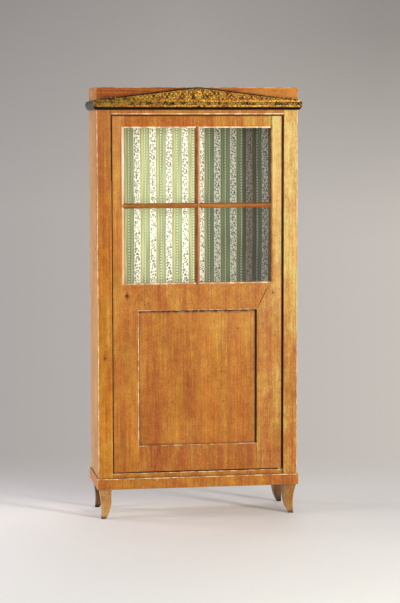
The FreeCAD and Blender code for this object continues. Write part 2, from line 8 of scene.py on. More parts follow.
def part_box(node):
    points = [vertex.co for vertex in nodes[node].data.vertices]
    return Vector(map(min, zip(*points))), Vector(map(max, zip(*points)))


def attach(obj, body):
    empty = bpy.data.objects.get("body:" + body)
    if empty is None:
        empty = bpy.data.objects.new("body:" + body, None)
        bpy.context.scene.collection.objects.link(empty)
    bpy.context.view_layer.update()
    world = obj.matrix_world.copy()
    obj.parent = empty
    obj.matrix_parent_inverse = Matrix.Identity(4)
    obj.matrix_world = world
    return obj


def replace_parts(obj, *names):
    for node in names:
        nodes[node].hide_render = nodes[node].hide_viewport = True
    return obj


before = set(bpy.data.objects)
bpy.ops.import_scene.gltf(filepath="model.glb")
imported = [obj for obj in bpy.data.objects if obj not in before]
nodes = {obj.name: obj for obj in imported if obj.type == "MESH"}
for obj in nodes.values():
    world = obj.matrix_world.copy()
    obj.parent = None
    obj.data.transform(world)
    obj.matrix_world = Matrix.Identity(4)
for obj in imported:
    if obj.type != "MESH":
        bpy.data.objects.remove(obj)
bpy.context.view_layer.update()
bpy.ops.object.select_all(action="DESELECT")


# Sabre legs
# Four solid cherry feet, sawn to the same curve on two faces and tenoned up into blocks
# in the plinth. They were polished with the case and are scuffed at the toes.
def linear(hex_colour):
    # The linear red, green, blue and alpha of an sRGB hex colour.
    parts = [int(hex_colour[start:start + 2], 16) / 255 for start in (1, 3, 5)]
    return [c / 12.92 if c <= 0.04045 else ((c + 0.055) / 1.055) ** 2.4 for c in parts] + [1.0]


def feed(node, inputs):
    # Fills sockets, by name or in order, with plain values or links. A node that is given
    # stands for its first output in use.
    for socket, value in inputs.items() if isinstance(inputs, dict) else enumerate(inputs):
        if isinstance(value, bpy.types.Node):
            value = next(output for output in value.outputs if output.enabled)
        if isinstance(value, bpy.types.NodeSocket):
            node.id_data.links.new(value, node.inputs[socket])
        else:
            node.inputs[socket].default_value = value


def put(tree, kind, inputs=(), operation=None, stops=(), **settings):
    # One node: its operation and settings, what feeds its sockets, and a ramp's stops.
    made = tree.nodes.new("ShaderNode" + kind)
    if operation:
        made.operation = operation
    for name, value in settings.items():
        setattr(made, name, value)
    feed(made, inputs)
    for number, (place, colour) in enumerate(stops):
        ramp = made.color_ramp.elements
        stop = ramp[number] if number < 2 else ramp.new(place)
        stop.position = place
        stop.color = linear(colour)
    return made


smooth = {"interpolation_type": "SMOOTHSTEP"}
tint_mix = {"data_type": "RGBA"}
tint_times = {"data_type": "RGBA", "blend_type": "MULTIPLY"}


def mixed(share, first, second):
    # What feeds a Mix node of colours, which has them in its seventh and eighth sockets.
    return {0: share, 6: first, 7: second}


def new_material(name):
    # A material, its shader, and what adds a node to it.
    material = bpy.data.materials.new(name)
    material.use_nodes = True
    return material, material.node_tree.nodes["Principled BSDF"], partial(put, material.node_tree)


def dress(piece, material):
    nodes[piece].material_slots[0].material = material


def grain_place(add, board, shift):
    # The axes, and the place in a board that names them across, through and along its grain.
    axes = add("SeparateXYZ", (add("TexCoord").outputs["Object"],))
    turned = add("CombineXYZ", [axes.outputs[axis] for axis in board])
    return axes, add("VectorMath", (turned, shift))


def arrises(add):
    # The normal of edges rounded by 1.6 mm, and how far a spot lies on such an edge.
    round_edge = add("Bevel", {"Radius": 0.0016}, samples=4)
    turn = add("VectorMath", (round_edge, add("NewGeometry").outputs["Normal"]), "DOT_PRODUCT")
    return round_edge, add("MapRange", (turn, 0.995, 0.9, 0.0, 1.0))


tone_steps = (0.0, 0.3, 0.52, 0.76, 1.0)
cherry_tones = "#78380A #8A4C0D #986012 #A77420 #B68A38"
# Roughness where the painted lines of shade, highlight and wear lie
painted_line_roughness = 0.9
beyond_knots = 1000.0


def cherry(piece, board, cut, leaf=0.0, tones=cherry_tones, rubbed=0.35, knots=(), lines=(), soil=0.0,
           polish=0.36, blend_along=(), kind="cherry"):
    # Cherry veneer under old shellac: amber with brown-red streaks 10 mm wide along the grain,
    # cloudy figure a hand wide, fine dark pores, a few pin knots, a satin gloss, rubbed arrises.
    # Board names the axes across, through and along the grain, and leaf is a veneer leaf's width.
    # Knots gives places across and along with a radius, and soil the height of a dirty foot. Lines
    # each have an axis, a place on it, a reach, a colour, a least and a full strength, a depth behind
    # which they stop, and some a height below which they stop: dark lines are painted shadow and
    # shade, pale lines painted highlights that also stand for wear. A paler ramp is given by an axis,
    # two places on it and how much paler the wood is at the second; it paints how light falls along
    # the piece.
    wood, shader, add = new_material(kind + "_" + piece)
    axes, place = grain_place(add, board, (cut * 1.7, cut * 0.9, cut * 2.3))
    total = 0.0
    if leaf:
        count = add("Math", (axes.outputs[board[0]], leaf), "DIVIDE")
        number = add("Math", (count,), "FLOOR")
        draw = add("TexWhiteNoise", {"W": number}, noise_dimensions="1D")
        place = add("VectorMath", (draw.outputs["Color"], (0.3, 0.0, 2.0), place), "MULTIPLY_ADD")
        total = add("MapRange", {0: draw, 3: -0.07, 4: 0.07})
    # Each mark has its stretch along the grain, the pattern's scale, detail, roughness and
    # distortion, and how much darker and paler it makes the wood
    marks = {}
    for mark, stretch, scale, detail, rough, warp, darker, paler in (
            ("figure", 0.06, 16.0, 3.0, 0.55, 0.5, -0.15, 0.15),
            ("streak", 0.03, 130.0, 5.0, 0.66, 0.2, -0.22, 0.22),
            ("cloud", 0.45, 11.0, 3.0, 0.6, 0.0, 0.4, 0.62),
            ("blotch", 1.0, 30.0, 4.0, 0.5, 0.0, -0.12, 0.12),
            ("fleck", 0.5, 210.0, 2.0, 0.7, 0.0, -0.21, 0.21)):
        drawn = add("Mapping", {"Vector": place, "Scale": (1.0, 1.0, stretch)})
        marks[mark] = add("TexNoise", {"Vector": drawn, "Scale": scale, "Detail": detail,
                                       "Roughness": rough, "Distortion": warp})
        tone = add("MapRange", (marks[mark], 0.3, 0.7, darker, paler), clamp=False)
        total = add("Math", (total, tone))
    # Paler along one axis: painted light falling along the piece
    if blend_along:
        axis, *blend_span = blend_along
        lightened = add("MapRange", (axes.outputs[axis], blend_span[0], blend_span[1], 0.0, blend_span[2]))
        total = add("Math", (total, lightened))
    ground = add("ValToRGB", (total,), stops=zip(tone_steps, tones.split()))
    # The red of the heartwood comes and goes in bands two fingers wide
    drawn = add("Mapping", {"Vector": place, "Scale": (1.0, 1.0, 0.2), "Location": (3.1, 1.7, 5.3)})
    heart = add("TexNoise", {"Vector": drawn, "Scale": 24.0, "Detail": 3.0, "Roughness": 0.6})
    red = add("MapRange", (heart, 0.36, 0.64))
    hue = add("Mix", mixed(red, linear("#FCFFFA"), linear("#FFE6CC")), **tint_mix)
    ground = add("Mix", mixed(1.0, ground, hue), **tint_times)
    # Pores a millimetre wide and about 40 mm long
    drawn = add("Mapping", {"Vector": place, "Scale": (1.0, 1.0, 0.025)})
    pore = add("TexNoise", {"Vector": drawn, "Scale": 900.0, "Detail": 2.0, "Roughness": 0.5})
    pores = add("MapRange", (pore, 0.36, 0.5, 0.78, 1.0))
    # Pin knots two to four millimetres wide, about one to a palm's width, or where they are given
    if knots:
        face = add("CombineXYZ", (axes.outputs[board[0]], axes.outputs[board[2]]))
        nearest = beyond_knots
        for across, along, radius in knots:
            gap = add("VectorMath", (face, (across, along, 0.0)), "DISTANCE")
            ratio = add("Math", (gap, radius), "DIVIDE")
            nearest = add("Math", (nearest, ratio), "MINIMUM")
    else:
        flat = add("SeparateXYZ", (place,))
        face = add("CombineXYZ", (flat.outputs["X"], flat.outputs["Z"]))
        knot = add("TexVoronoi", {"Vector": face, "Scale": 11.0}, voronoi_dimensions="2D")
        chance = add("SeparateColor", (knot.outputs["Color"],))
        size = add("MapRange", (chance, 0.7, 1.0, 0.00001, 0.02))
        nearest = add("Math", (knot, size), "DIVIDE")
    pin = add("MapRange", (nearest, 0.7, 1.3, 0.85, 0.0))
    halo = add("MapRange", (nearest, 0.8, 5.0, 0.5, 0.0), **smooth)
    stained = add("Mix", mixed(halo, ground, linear("#7A3B14")), **tint_mix)
    pricked = add("Mix", mixed(pin, stained, linear("#2A1408")), **tint_mix)
    porous = add("Mix", mixed(1.0, pricked, pores), **tint_times)
    # Arrises rubbed through to paler wood in patches, and painted shade darkening corners and recesses
    round_edge, arris = arrises(add)
    patch = add("TexNoise", {"Vector": place, "Scale": 34.0, "Detail": 4.0})
    patches = add("MapRange", (patch, 0.42, 0.58, 0.3 * rubbed, 2 * rubbed))
    rub = add("Math", (arris, patches), "MULTIPLY")
    worn = add("Mix", mixed(rub, porous, linear("#EAC896")), **tint_mix)
    corner = add("AmbientOcclusion", {"Distance": 0.014}, samples=4)
    corner_shade = add("MapRange", (corner.outputs["AO"], 0.3, 0.9, 0.2, 1.0))
    aged_and_shaded = add("Mix", mixed(1.0, worn, corner_shade), **tint_times)
    gloss = add("MapRange", (marks["cloud"], 0.3, 0.7, 0.27, 0.39))
    # Dark lines paint shadow and shade in gaps, recesses and under edges; pale lines paint highlights on
    # arrises and bevels and also stand for wear
    for axis, spot, reach, shade, least, full, back, *above in lines:
        off = add("Math", (axes.outputs[axis], spot), "SUBTRACT")
        off = add("Math", (off,), "ABSOLUTE")
        ragged = add("MapRange", (patch, 0.35, 0.65, reach * 0.8, reach * 1.2))
        near = add("MapRange", (off, reach * 0.3, ragged, 1.0, 0.0))
        kept = add("MapRange", (patch, 0.45, 0.58, least, full))
        amount = add("Math", (near, kept), "MULTIPLY")
        limits = [add("Math", (axes.outputs["Y"], back), "LESS_THAN")]
        limits += [add("Math", (axes.outputs["Z"], low), "GREATER_THAN") for low in above]
        for limit in limits:
            amount = add("Math", (amount, limit), "MULTIPLY")
        aged_and_shaded = add("Mix", mixed(amount, aged_and_shaded, linear(shade)), **tint_mix)
        gloss = add("MapRange", {0: amount, 3: gloss, 4: painted_line_roughness})
    if soil:
        low = add("MapRange", (axes.outputs["Z"], 0.0, soil, 0.12, 1.0), **smooth)
        aged_and_shaded = add("Mix", mixed(1.0, aged_and_shaded, low), **tint_times)
    height = add("Math", (pores, marks["streak"]))
    uneven = add("Bump", {"Height": patch, "Strength": 0.3, "Distance": 0.0012, "Normal": round_edge})
    skin = add("Bump", {"Height": height, "Strength": 0.12, "Distance": 0.0006, "Normal": uneven})
    feed(shader, {"Base Color": aged_and_shaded, "Roughness": gloss, "Normal": skin, "Specular IOR Level": polish})
    dress(piece, wood)


# Each leg's tones paint how the light falls on it: the front left palest, the front right darker, and the
# rear pair near black-brown, a painted shade
rear_shaded_tones = "#33200E #4A3119 #5B4024 #6B4F2F #7B5F3C"
toe_soil = 0.02
for cut, (piece, tones) in enumerate((("leg_front_left", "#6E4A24 #89663B #9C7A4C #AC8D60 #BBA078"),
                                      ("leg_front_right", "#54320F #6D471A #7E5725 #8E6833 #9D7B47"),
                                      ("leg_rear_left", rear_shaded_tones), ("leg_rear_right", rear_shaded_tones))):
    cherry(piece, "XYZ", 0.31 + 0.17 * cut, tones=tones, rubbed=0.5, soil=toe_soil)


# Plinth
# A band of cherry on pine, mitred at the front corners and glued round four pine corner
# blocks, with a plain pine back. Its top ledge shows below the case and is the most rubbed.
pine_steps = (0.0, 0.35, 0.65, 1.0)
pine_tones = "#8B6233 #A97C46 #BE935B #CFAA74"


def pine(piece, board, cut, tones=pine_tones):
    # Old planed pine, never polished: straw brown, with resin-dark growth lines 6 mm apart,
    # oval knots 20 mm across, a grey bloom of age and a dry, rough face.
    wood, shader, add = new_material("pine_" + piece)
    place = grain_place(add, board, (cut * 1.3, cut * 0.7, cut * 2.9))[1]
    flat = add("SeparateXYZ", (place,))
    face = add("CombineXYZ", (flat.outputs["X"], flat.outputs["Z"]))
    shrunk = add("Mapping", {"Vector": face, "Scale": (1.0, 0.55, 1.0)})
    knot = add("TexVoronoi", {"Vector": shrunk, "Scale": 4.2}, voronoi_dimensions="2D")
    near = add("MapRange", (knot, 0.0, 0.3, 0.05, 0.0), **smooth)
    bent = add("CombineXYZ", (near, near))
    bowed = add("VectorMath", (place, bent))
    long_grain = add("Mapping", {"Vector": bowed, "Scale": (1.0, 1.0, 0.045)})
    sweep = add("TexNoise", {"Vector": long_grain, "Scale": 9.0, "Detail": 2.0})
    swept = add("VectorMath", (sweep.outputs["Color"], (0.09, 0.0, 0.0), long_grain), "MULTIPLY_ADD")
    rings = add("TexWave", {"Vector": swept, "Scale": 26.0, "Distortion": 1.2, "Detail": 2.0,
                            "Detail Scale": 1.5}, wave_profile="SAW").outputs["Fac"]
    fibre = add("TexNoise", {"Vector": long_grain, "Scale": 240.0, "Detail": 4.0})
    age = add("TexNoise", {"Vector": place, "Scale": 6.0, "Detail": 4.0})
    ringed = add("MapRange", {0: rings, 3: 0.16, 4: -0.2})
    fibrous = add("MapRange", (fibre, 0.3, 0.7, -0.14, 0.14), clamp=False)
    shadow_band = add("MapRange", (age, 0.3, 0.7, 0.34, 0.7), clamp=False)
    total = add("Math", (ringed, fibrous))
    total = add("Math", (total, shadow_band))
    ground = add("ValToRGB", (total,), stops=zip(pine_steps, tones.split()))
    chance = add("SeparateColor", (knot.outputs["Color"],))
    size = add("MapRange", (chance, 0.5, 1.0, 0.0, 0.05))
    wide = add("Math", (size, 1.5), "MULTIPLY")
    eye = add("MapRange", (knot, size, wide, 0.85, 0.0), **smooth)
    knotted = add("Mix", mixed(eye, ground, linear("#5E3416")), **tint_mix)
    # Painted shade darkening the corners and recesses
    corner = add("AmbientOcclusion", {"Distance": 0.02}, samples=4)
    corner_shade = add("MapRange", (corner.outputs["AO"], 0.2, 0.85, 0.5, 1.0))
    aged_and_shaded = add("Mix", mixed(1.0, knotted, corner_shade), **tint_times)
    dry = add("MapRange", (fibre, 0.3, 0.7, 0.62, 0.82))
    relief = add("Math", (rings, fibre))
    round_edge = add("Bevel", {"Radius": 0.0012}, samples=4)
    skin = add("Bump", {"Height": relief, "Strength": 0.25, "Distance": 0.0008, "Normal": round_edge})
    feed(shader, {"Base Color": aged_and_shaded, "Roughness": dry, "Normal": skin})
    dress(piece, wood)


plinth_leaf = 0.21
plinth_rub = 0.8
# A pale colour for lines that paint highlights on arrises and bevels and also stand for wear, and a near
# black for lines of painted shadow and shade in gaps, recesses and under edges
wear_and_highlight, dark_painted_shadow = "#F2DDBC", "#200702"
skin_depth = 0.0025
plinth_low, plinth_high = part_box("plinth_front")
plinth_skin = plinth_low.y + skin_depth
# The pale line on the top edge paints a highlight and stands for wear on the ledge, and the dark line along
# the foot paints the shade under it
cherry("plinth_front", "XYZ", 1.2, leaf=plinth_leaf, rubbed=plinth_rub, lines=(
    ("Z", plinth_high.z, 0.0028, wear_and_highlight, 0.15, 0.8, plinth_skin),
    ("Z", plinth_low.z, 0.003, dark_painted_shadow, 0.0, 0.8, plinth_skin)))
cherry("plinth_left", "YXZ", 1.3, rubbed=plinth_rub)
cherry("plinth_right", "YXZ", 1.4, rubbed=plinth_rub)
pine("plinth_back", "ZYX", 0.4)
pine("corner_blocks", "XYZ", 0.9)


# Case frame
# Two cherry-veneered sides tongued into a pair of front stiles, with a top and a bottom rail
# tenoned between them. The rails are cross-veneered, so the grain stands upright all over.
# The left side's paler, greyer tones paint the sheen of light glancing off it; the right side keeps the plain
# cherry tones
side_sheen_tones = "#784A20 #926432 #A47844 #B48C58 #C2A070"
cherry("side_left", "YXZ", 2.1, tones=side_sheen_tones)
cherry("side_right", "YXZ", 2.6)
stile_low, stile_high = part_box("stile_right")
opening, case_half = stile_low.x, stile_high.x
case_low, opening_low = (corner.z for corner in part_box("bottom_rail"))
opening_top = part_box("top_rail")[0].z
case_skin = stile_low.y + skin_depth
case_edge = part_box("door_hinge_stile")[0].y
# Height above which the left stile's door gap has a wider painted shadow, and a dark red-brown for the
# painted shadow in the right-hand gap
shaded_above = 1.46
red_painted_shadow = "#4A1C08"
# Yellower tones for the right stile, which paint the lamp's sheen on it
highlit_tones = "#703A0C #885012 #98611B #A5873C #B5A05C"
swirl = ((-0.406, 0.701, 0.0045), (-0.401, 0.755, 0.0015), (-0.418, 0.512, 0.001), (-0.395, 1.32, 0.0012))
# The left stile is painted paler towards its foot, a painted shading, and the right stile paler above 0.7 m,
# the lamp's sheen; both have painted shadow along the door gap and a painted highlight on the front corner
cherry("stile_left", "XYZ", 3.2, knots=swirl, polish=0.25, blend_along=("Z", 1.5, 0.3, 0.22), lines=(
    ("X", -opening, 0.0045, dark_painted_shadow, 0.8, 1.0, case_edge, shaded_above),
    ("X", -opening, 0.0014, dark_painted_shadow, 0.0, 0.6, case_edge),
    ("X", -case_half, 0.003, wear_and_highlight, 0.35, 0.75, case_skin)))
cherry("stile_right", "XYZ", 3.7, tones=highlit_tones, blend_along=("Z", 0.7, 1.05, 0.34), lines=(
    ("X", opening, 0.003, red_painted_shadow, 1.0, 1.0, case_edge),
    ("X", case_half, 0.0025, wear_and_highlight, 0.1, 0.5, case_skin)))
rail_leaf = 0.187
# On the rails, dark lines paint the shade in the door's top and bottom gaps and under the bottom rail, and
# pale lines paint highlights on the arrises and stand for wear on the ledge
cherry("top_rail", "XYZ", 4.1, leaf=rail_leaf, polish=0.25, lines=(
    ("Z", opening_top, 0.002, dark_painted_shadow, 1.0, 1.0, case_edge),
    ("Z", opening_top + 0.004, 0.0022, wear_and_highlight, 0.3, 0.8, case_skin)))
cherry("bottom_rail", "XYZ", 4.6, leaf=rail_leaf, rubbed=0.9, lines=(
    ("Z", opening_low, 0.0028, wear_and_highlight, 0.1, 0.8, case_edge),
    ("Z", opening_low - 0.006, 0.003, dark_painted_shadow, 0.0, 0.6, case_skin),
    ("Z", case_low, 0.003, dark_painted_shadow, 0.1, 0.8, case_skin)))


# Case boards
# Pine top and bottom boards housed in the sides, and a back of three upright pine boards,
# lapped over each other in rebates. The inner faces have kept their colour.
pine("top_board", "YZX", 1.1)
pine("bottom_board", "YZX", 1.9)
back_tones = "#6F4F2C #8C6638 #A27D4C #B8955F"
back_boards = ["back_board_1", "back_board_2", "back_board_3"]
for number, board in enumerate(back_boards):
    pine(board, "XYZ", 2.6 + 0.4 * number, back_tones)


# Back nails
# Forged iron nails through the back boards, two to a board into the top and bottom boards and
# a row down each side rebate. Their heads are hammered to uneven facets and stand a little proud.
def choose(piece, wanted):
    # In edit mode, selects the vertices whose place answers, and nothing else.
    shape = bmesh.from_edit_mesh(piece.data)
    for vertex in shape.verts:
        vertex.select_set(wanted(vertex.co))
    shape.select_flush(True)
    bmesh.update_edit_mesh(piece.data)


def laid(pattern, across, along, out, foot):
    # A copy of a pattern piece with its own mesh, its X, Y and Z laid along these vectors.
    copy = pattern.copy()
    copy.data = pattern.data.copy()
    place = Matrix((across, along, out)).transposed().to_4x4()
    place.translation = foot
    copy.data.transform(place)
    bpy.context.scene.collection.objects.link(copy)
    return copy


def joined(copies, name, material, body):
    # One piece of the copies, with its finish, its body and its slot.
    bpy.ops.object.select_all(action="DESELECT")
    for copy in copies:
        copy.select_set(True)
    bpy.context.view_layer.objects.active = copies[0]
    bpy.ops.object.join()
    piece = bpy.context.object
    piece.name = name
    piece.data.materials.clear()
    piece.data.materials.append(material)
    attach(piece, body)
    piece.select_set(False)
    return piece


# Hand-forged iron: dark grey with a brown bloom of rust, hammered and dull.
iron, iron_shader, add = new_material("forged_iron")
spot = add("TexCoord").outputs["Object"]
rust = add("TexNoise", {"Vector": spot, "Scale": 70.0, "Detail": 6.0, "Roughness": 0.65})
tint = add("ValToRGB", (rust,), stops=((0.35, "#4B4643"), (0.55, "#3A332E"), (0.72, "#6B4024")))
bare = add("MapRange", (rust, 0.5, 0.68, 1.0, 0.25))
dull = add("MapRange", (rust, 0.4, 0.7, 0.42, 0.8))
hammered = add("TexVoronoi", {"Vector": spot, "Scale": 180.0}, feature="SMOOTH_F1")
beaten = add("Bump", {"Height": hammered, "Strength": 0.25, "Distance": 0.0006})
feed(iron_shader, {"Base Color": tint, "Metallic": bare, "Roughness": dull, "Normal": beaten})
nail_radius = 0.0034
nail_height = 0.0011
bpy.ops.mesh.primitive_cone_add(vertices=7, radius1=nail_radius, radius2=nail_radius / 3, depth=nail_height)
nail = bpy.context.object
# The flat of the head is off centre, and one side is beaten in
bpy.ops.object.mode_set(mode="EDIT")
choose(nail, lambda co: co.z > 0.0)
bpy.ops.transform.translate(value=(nail_radius * 0.14, 0.0, 0.0))
choose(nail, lambda co: co.x > nail_radius * 0.6)
bpy.ops.transform.resize(value=(0.85, 0.9, 1.0))
bpy.ops.object.mode_set(mode="OBJECT")
back_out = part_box("back_board_1")[1].y + nail_height / 2
rows = [(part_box(board)[0].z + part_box(board)[1].z) / 2 for board in ("top_board", "bottom_board")]
spots = []
for board in back_boards:
    low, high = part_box(board)
    spots += [(low.x + (high.x - low.x) * share, row) for share in (0.25, 0.75) for row in rows]
nail_inset = 0.005
edge_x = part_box("back_board_3")[1].x - nail_inset
edge_rows = 6
for number in range(1, edge_rows):
    height = rows[1] + (rows[0] - rows[1]) * number / edge_rows
    spots += [(-edge_x, height), (edge_x, height)]
nails = []
for number, (x, z) in enumerate(spots):
    turn = 2.4 * number
    nails.append(laid(nail, (math.cos(turn), 0.0, math.sin(turn)), (math.sin(turn), 0.0, -math.cos(turn)),
                      (0.0, 1.0, 0.0), (x, back_out, z)))
joined(nails, "back_nails", iron, "case")
bpy.data.objects.remove(nail)


# Shelves
# Two loose pine shelves on chamfered pine cleats, and cherry strips behind the left stile and
# the top rail that stop the door.
pine("middle_shelf", "YZX", 4.0)
pine("lower_shelf", "YZX", 4.7)
pine("shelf_cleats", "XZY", 5.1)
cherry("door_stop", "XYZ", 5.4)
cherry("door_stop_top", "ZYX", 5.8)


# Lining
# Printed cotton stretched flat over the back and sides of the display compartment and pasted
# down, cut to the edge. The stripes wander by a millimetre or two where it was pulled.
stripe_repeat = 0.0722
half_repeat = stripe_repeat / 2
stripe_start, side_start = -0.2274, 0.02
# Where a band of painted shadow lies across the back's print
shadow_band_span = (0.250, 0.312)
dots_from = 0.93
band_steps = (0.0, 0.41, 0.46, 0.6, 0.76, 0.88, dots_from)
cool_band = "#FFFCEE #66724A #A8B484 #B2BE8E #A6B280 #7A8658 #FFFBE0"
warm_band = "#FFFCEE #6C6E40 #B4B67E #BEC08A #B0B47A #828852 #FFFBE0"


def lining_cloth(name, across, start, shadow_band):
    # Printed cotton: cream stripes with small dark leaves on a winding stem, between sage green
    # bands that have a dotted cream line down their middle. Matt, with a fine plain weave.
    cloth, shader, add = new_material(name)
    spot = add("TexCoord").outputs["Object"]
    axes = add("SeparateXYZ", (spot,))
    drawn = add("Mapping", {"Vector": spot, "Scale": (1.0, 1.0, 0.5)})
    pull = add("TexNoise", {"Vector": drawn, "Scale": 7.0, "Detail": 2.0})
    sway = add("MapRange", (pull, 0.3, 0.7, -0.0016 - start, 0.0016 - start))
    u = add("Math", (axes.outputs[across], sway))
    off = add("Math", (u, half_repeat), "PINGPONG")
    share = add("Math", (off, half_repeat), "DIVIDE")
    side = add("Math", (u, half_repeat, -half_repeat), "WRAP")
    right = add("Math", (side, 0.0), "GREATER_THAN")
    bands = []
    for tones in (cool_band, warm_band):
        bands.append(add("ValToRGB", (share,), stops=zip(band_steps, tones.split())))
        bands[-1].color_ramp.interpolation = "CONSTANT"
    colour = add("Mix", mixed(right, *bands), **tint_mix)
    # Dots down the middle of the green band, 8 mm apart but drawn at 12.5 so that they show
    dot_pitch = 0.0125
    beat = add("Math", (axes.outputs["Z"], dot_pitch / 2), "PINGPONG")
    gap = add("Math", (beat, 0.0021), "LESS_THAN")
    middle = add("Math", (share, dots_from), "GREATER_THAN")
    blank = add("Math", (gap, middle), "MULTIPLY")
    colour = add("Mix", mixed(blank, colour, linear("#4A582F")), **tint_mix)
    # The greens are painted deeper past 0.07 to 0.1 across, a painted shade matching the
    # lamp's shadow on the back
    shaded_right = add("MapRange", (axes.outputs[across], 0.07, 0.1))
    green = add("MapRange", (share, 0.4, 0.42))
    green = add("Math", (green, middle), "SUBTRACT")
    painted_shade_share = add("Math", (shaded_right, green), "MULTIPLY")
    shade_tint = add("Mix", mixed(painted_shade_share, linear("#FFFFFF"), linear("#BECDCE")), **tint_mix)
    colour = add("Mix", mixed(1.0, colour, shade_tint), **tint_times)
    # The green has faded unevenly, in runs three or four millimetres wide down the band
    drawn = add("Mapping", {"Vector": spot, "Scale": (1.0, 1.0, 0.03)})
    runs = add("TexNoise", {"Vector": drawn, "Scale": 210.0, "Detail": 3.0})
    uneven = add("MapRange", (runs, 0.36, 0.64, 0.7, 1.22))
    uneven = add("MapRange", {0: green, 3: 1.0, 4: uneven})
    colour = add("Mix", mixed(1.0, colour, uneven), **tint_times)
    # The print drops by 32 mm from each stripe to the next
    stripe = add("Math", (u, side), "SUBTRACT")
    z = add("Math", (stripe, 0.0317 / stripe_repeat, axes.outputs["Z"]), "MULTIPLY_ADD")
    # A stem that winds 9 mm to each side every 58 mm
    bend = add("Math", (z, 2 * math.pi / 0.058), "MULTIPLY")
    wave = add("Math", (bend,), "SINE")
    reach = add("Math", (wave, -0.009, side), "MULTIPLY_ADD")
    from_stem = add("Math", (reach,), "ABSOLUTE")
    print_marks = [(add("Math", (from_stem, 0.0004), "LESS_THAN"), "#1A1C10")]
    inside = add("Math", (off, 0.0128), "LESS_THAN")
    # Leaves six millimetres long lean both ways, with berries between them
    face = add("CombineXYZ", (side, z))
    for lean, pitch, longer, radius, least, ink in (
            (0.7, 0.0086, 1.3, 0.0022, 0.34, "#040503"), (-0.7, 0.0086, 1.3, 0.0022, 0.34, "#080703"),
            (0.0, 0.0078, 1.0, 0.0020, 0.6, "#3A201A")):
        leaning = add("Mapping", {"Vector": face, "Location": (lean, 0.3, 0.0),
                                  "Rotation": (0.0, 0.0, lean), "Scale": (1.0, longer, 1.0)},
                      vector_type="TEXTURE")
        bud = add("TexVoronoi", {"Vector": leaning, "Scale": 1 / pitch}, voronoi_dimensions="2D")
        chance = add("SeparateColor", (bud.outputs["Color"],))
        kept = add("MapRange", (chance, least, least + 0.02, 0.0, radius / pitch))
        print_marks.append((add("Math", (bud, kept), "LESS_THAN"), ink))
    for mark, ink in print_marks:
        here = add("Math", (mark, inside), "MULTIPLY")
        colour = add("Mix", mixed(here, colour, linear(ink)), **tint_mix)
    # Threads are half a millimetre apart, drawn here at 1.2 mm so that they show
    warp, weft = (add("TexWave", {"Vector": spot, "Scale": 130.0}, bands_direction=axis).outputs["Fac"]
                  for axis in (across, "Z"))
    weave = add("Math", (warp, weft), "MULTIPLY")
    faded = add("MapRange", {0: weave, 3: 0.93, 4: 1.03})
    colour = add("Mix", mixed(1.0, colour, faded), **tint_times)
    # A band across one repeat of the print is painted darker, a painted shadow
    if shadow_band:
        after = add("Math", (axes.outputs[across], shadow_band[0]), "GREATER_THAN")
        before = add("Math", (axes.outputs[across], shadow_band[1]), "LESS_THAN")
        strip = add("Math", (after, before), "MULTIPLY")
        shade = add("Mix", mixed(strip, linear("#FFFFFF"), linear("#BDB6A6")), **tint_mix)
        colour = add("Mix", mixed(1.0, colour, shade), **tint_times)
    skin = add("Bump", {"Height": weave, "Strength": 0.2, "Distance": 0.0004})
    feed(shader, {"Base Color": colour, "Roughness": 0.9, "Normal": skin, "Specular IOR Level": 0.2,
                  "Sheen Weight": 0.15})
    return cloth


cloth_thickness = 0.0006
cloth_gap = 0.0004
cloth_cell = 0.008
ripple = 0.0011
held_edge = 0.04
lining_low, lining_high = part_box("fabric_lining")
shelf_top, lining_top = lining_low.z, lining_high.z
back_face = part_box("back_board_1")[0].y


def lining_sheet(name, centre, size, turn, facing, across, start, shadow_band=()):
    # A fine grid turned upright, rippled by a millimetre, with its thickness behind.
    columns, rows = (int(length / cloth_cell) for length in size)
    bpy.ops.mesh.primitive_grid_add(x_subdivisions=columns, y_subdivisions=rows, size=1.0, location=centre,
                                    rotation=turn)
    cloth = bpy.context.object
    cloth.name = name
    cloth.scale = (size[0], size[1], 1.0)
    bpy.ops.object.transform_apply(location=True, rotation=True, scale=True)
    for vertex in cloth.data.vertices:
        u = vertex.co.x if across == "X" else vertex.co.y
        z = vertex.co.z
        edge = min(1.0, (lining_top - z) / held_edge, (z - shelf_top) / held_edge)
        lift = 0.5 + 0.3 * math.sin(u * 47.0 + 1.3 * math.sin(z * 5.1))
        lift += 0.2 * math.sin(u * 113.0 - z * 3.3)
        vertex.co += Vector(facing) * ripple * lift * max(edge, 0.0)
    thick = cloth.modifiers.new("thickness", "SOLIDIFY")
    thick.thickness = cloth_thickness
    thick.offset = -1.0
    bpy.ops.object.modifier_apply(modifier="thickness")
    bpy.ops.object.shade_smooth_by_angle(angle=math.radians(40))
    cloth.data.materials.append(lining_cloth("printed_cotton_" + name, across, start, shadow_band))
    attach(cloth, "case")
    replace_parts(cloth, "fabric_lining")
    cloth.select_set(False)


upright = math.pi / 2
lining_height = lining_top - shelf_top
lining_mid = (lining_top + shelf_top) / 2
back_width = lining_high.x - lining_low.x
lining_sheet("lining_back", (0.0, back_face - cloth_gap - cloth_thickness, lining_mid),
             (back_width, lining_height), (upright, 0.0, 0.0), (0.0, -1.0, 0.0),
             "X", stripe_start, shadow_band=shadow_band_span)
corner_gap, side_sink = 0.0035, 0.0002
side_depth = back_face - corner_gap - lining_low.y
for name, hand, carrier in (("lining_left", -1.0, "side_left"), ("lining_right", 1.0, "side_right")):
    place = hand * (lining_high.x - cloth_thickness + side_sink)
    lining_sheet(name, (place, lining_low.y + side_depth / 2, lining_mid), (side_depth, lining_height),
                 (upright, 0.0, -hand * upright), (-hand, 0.0, 0.0), "Y", side_start)


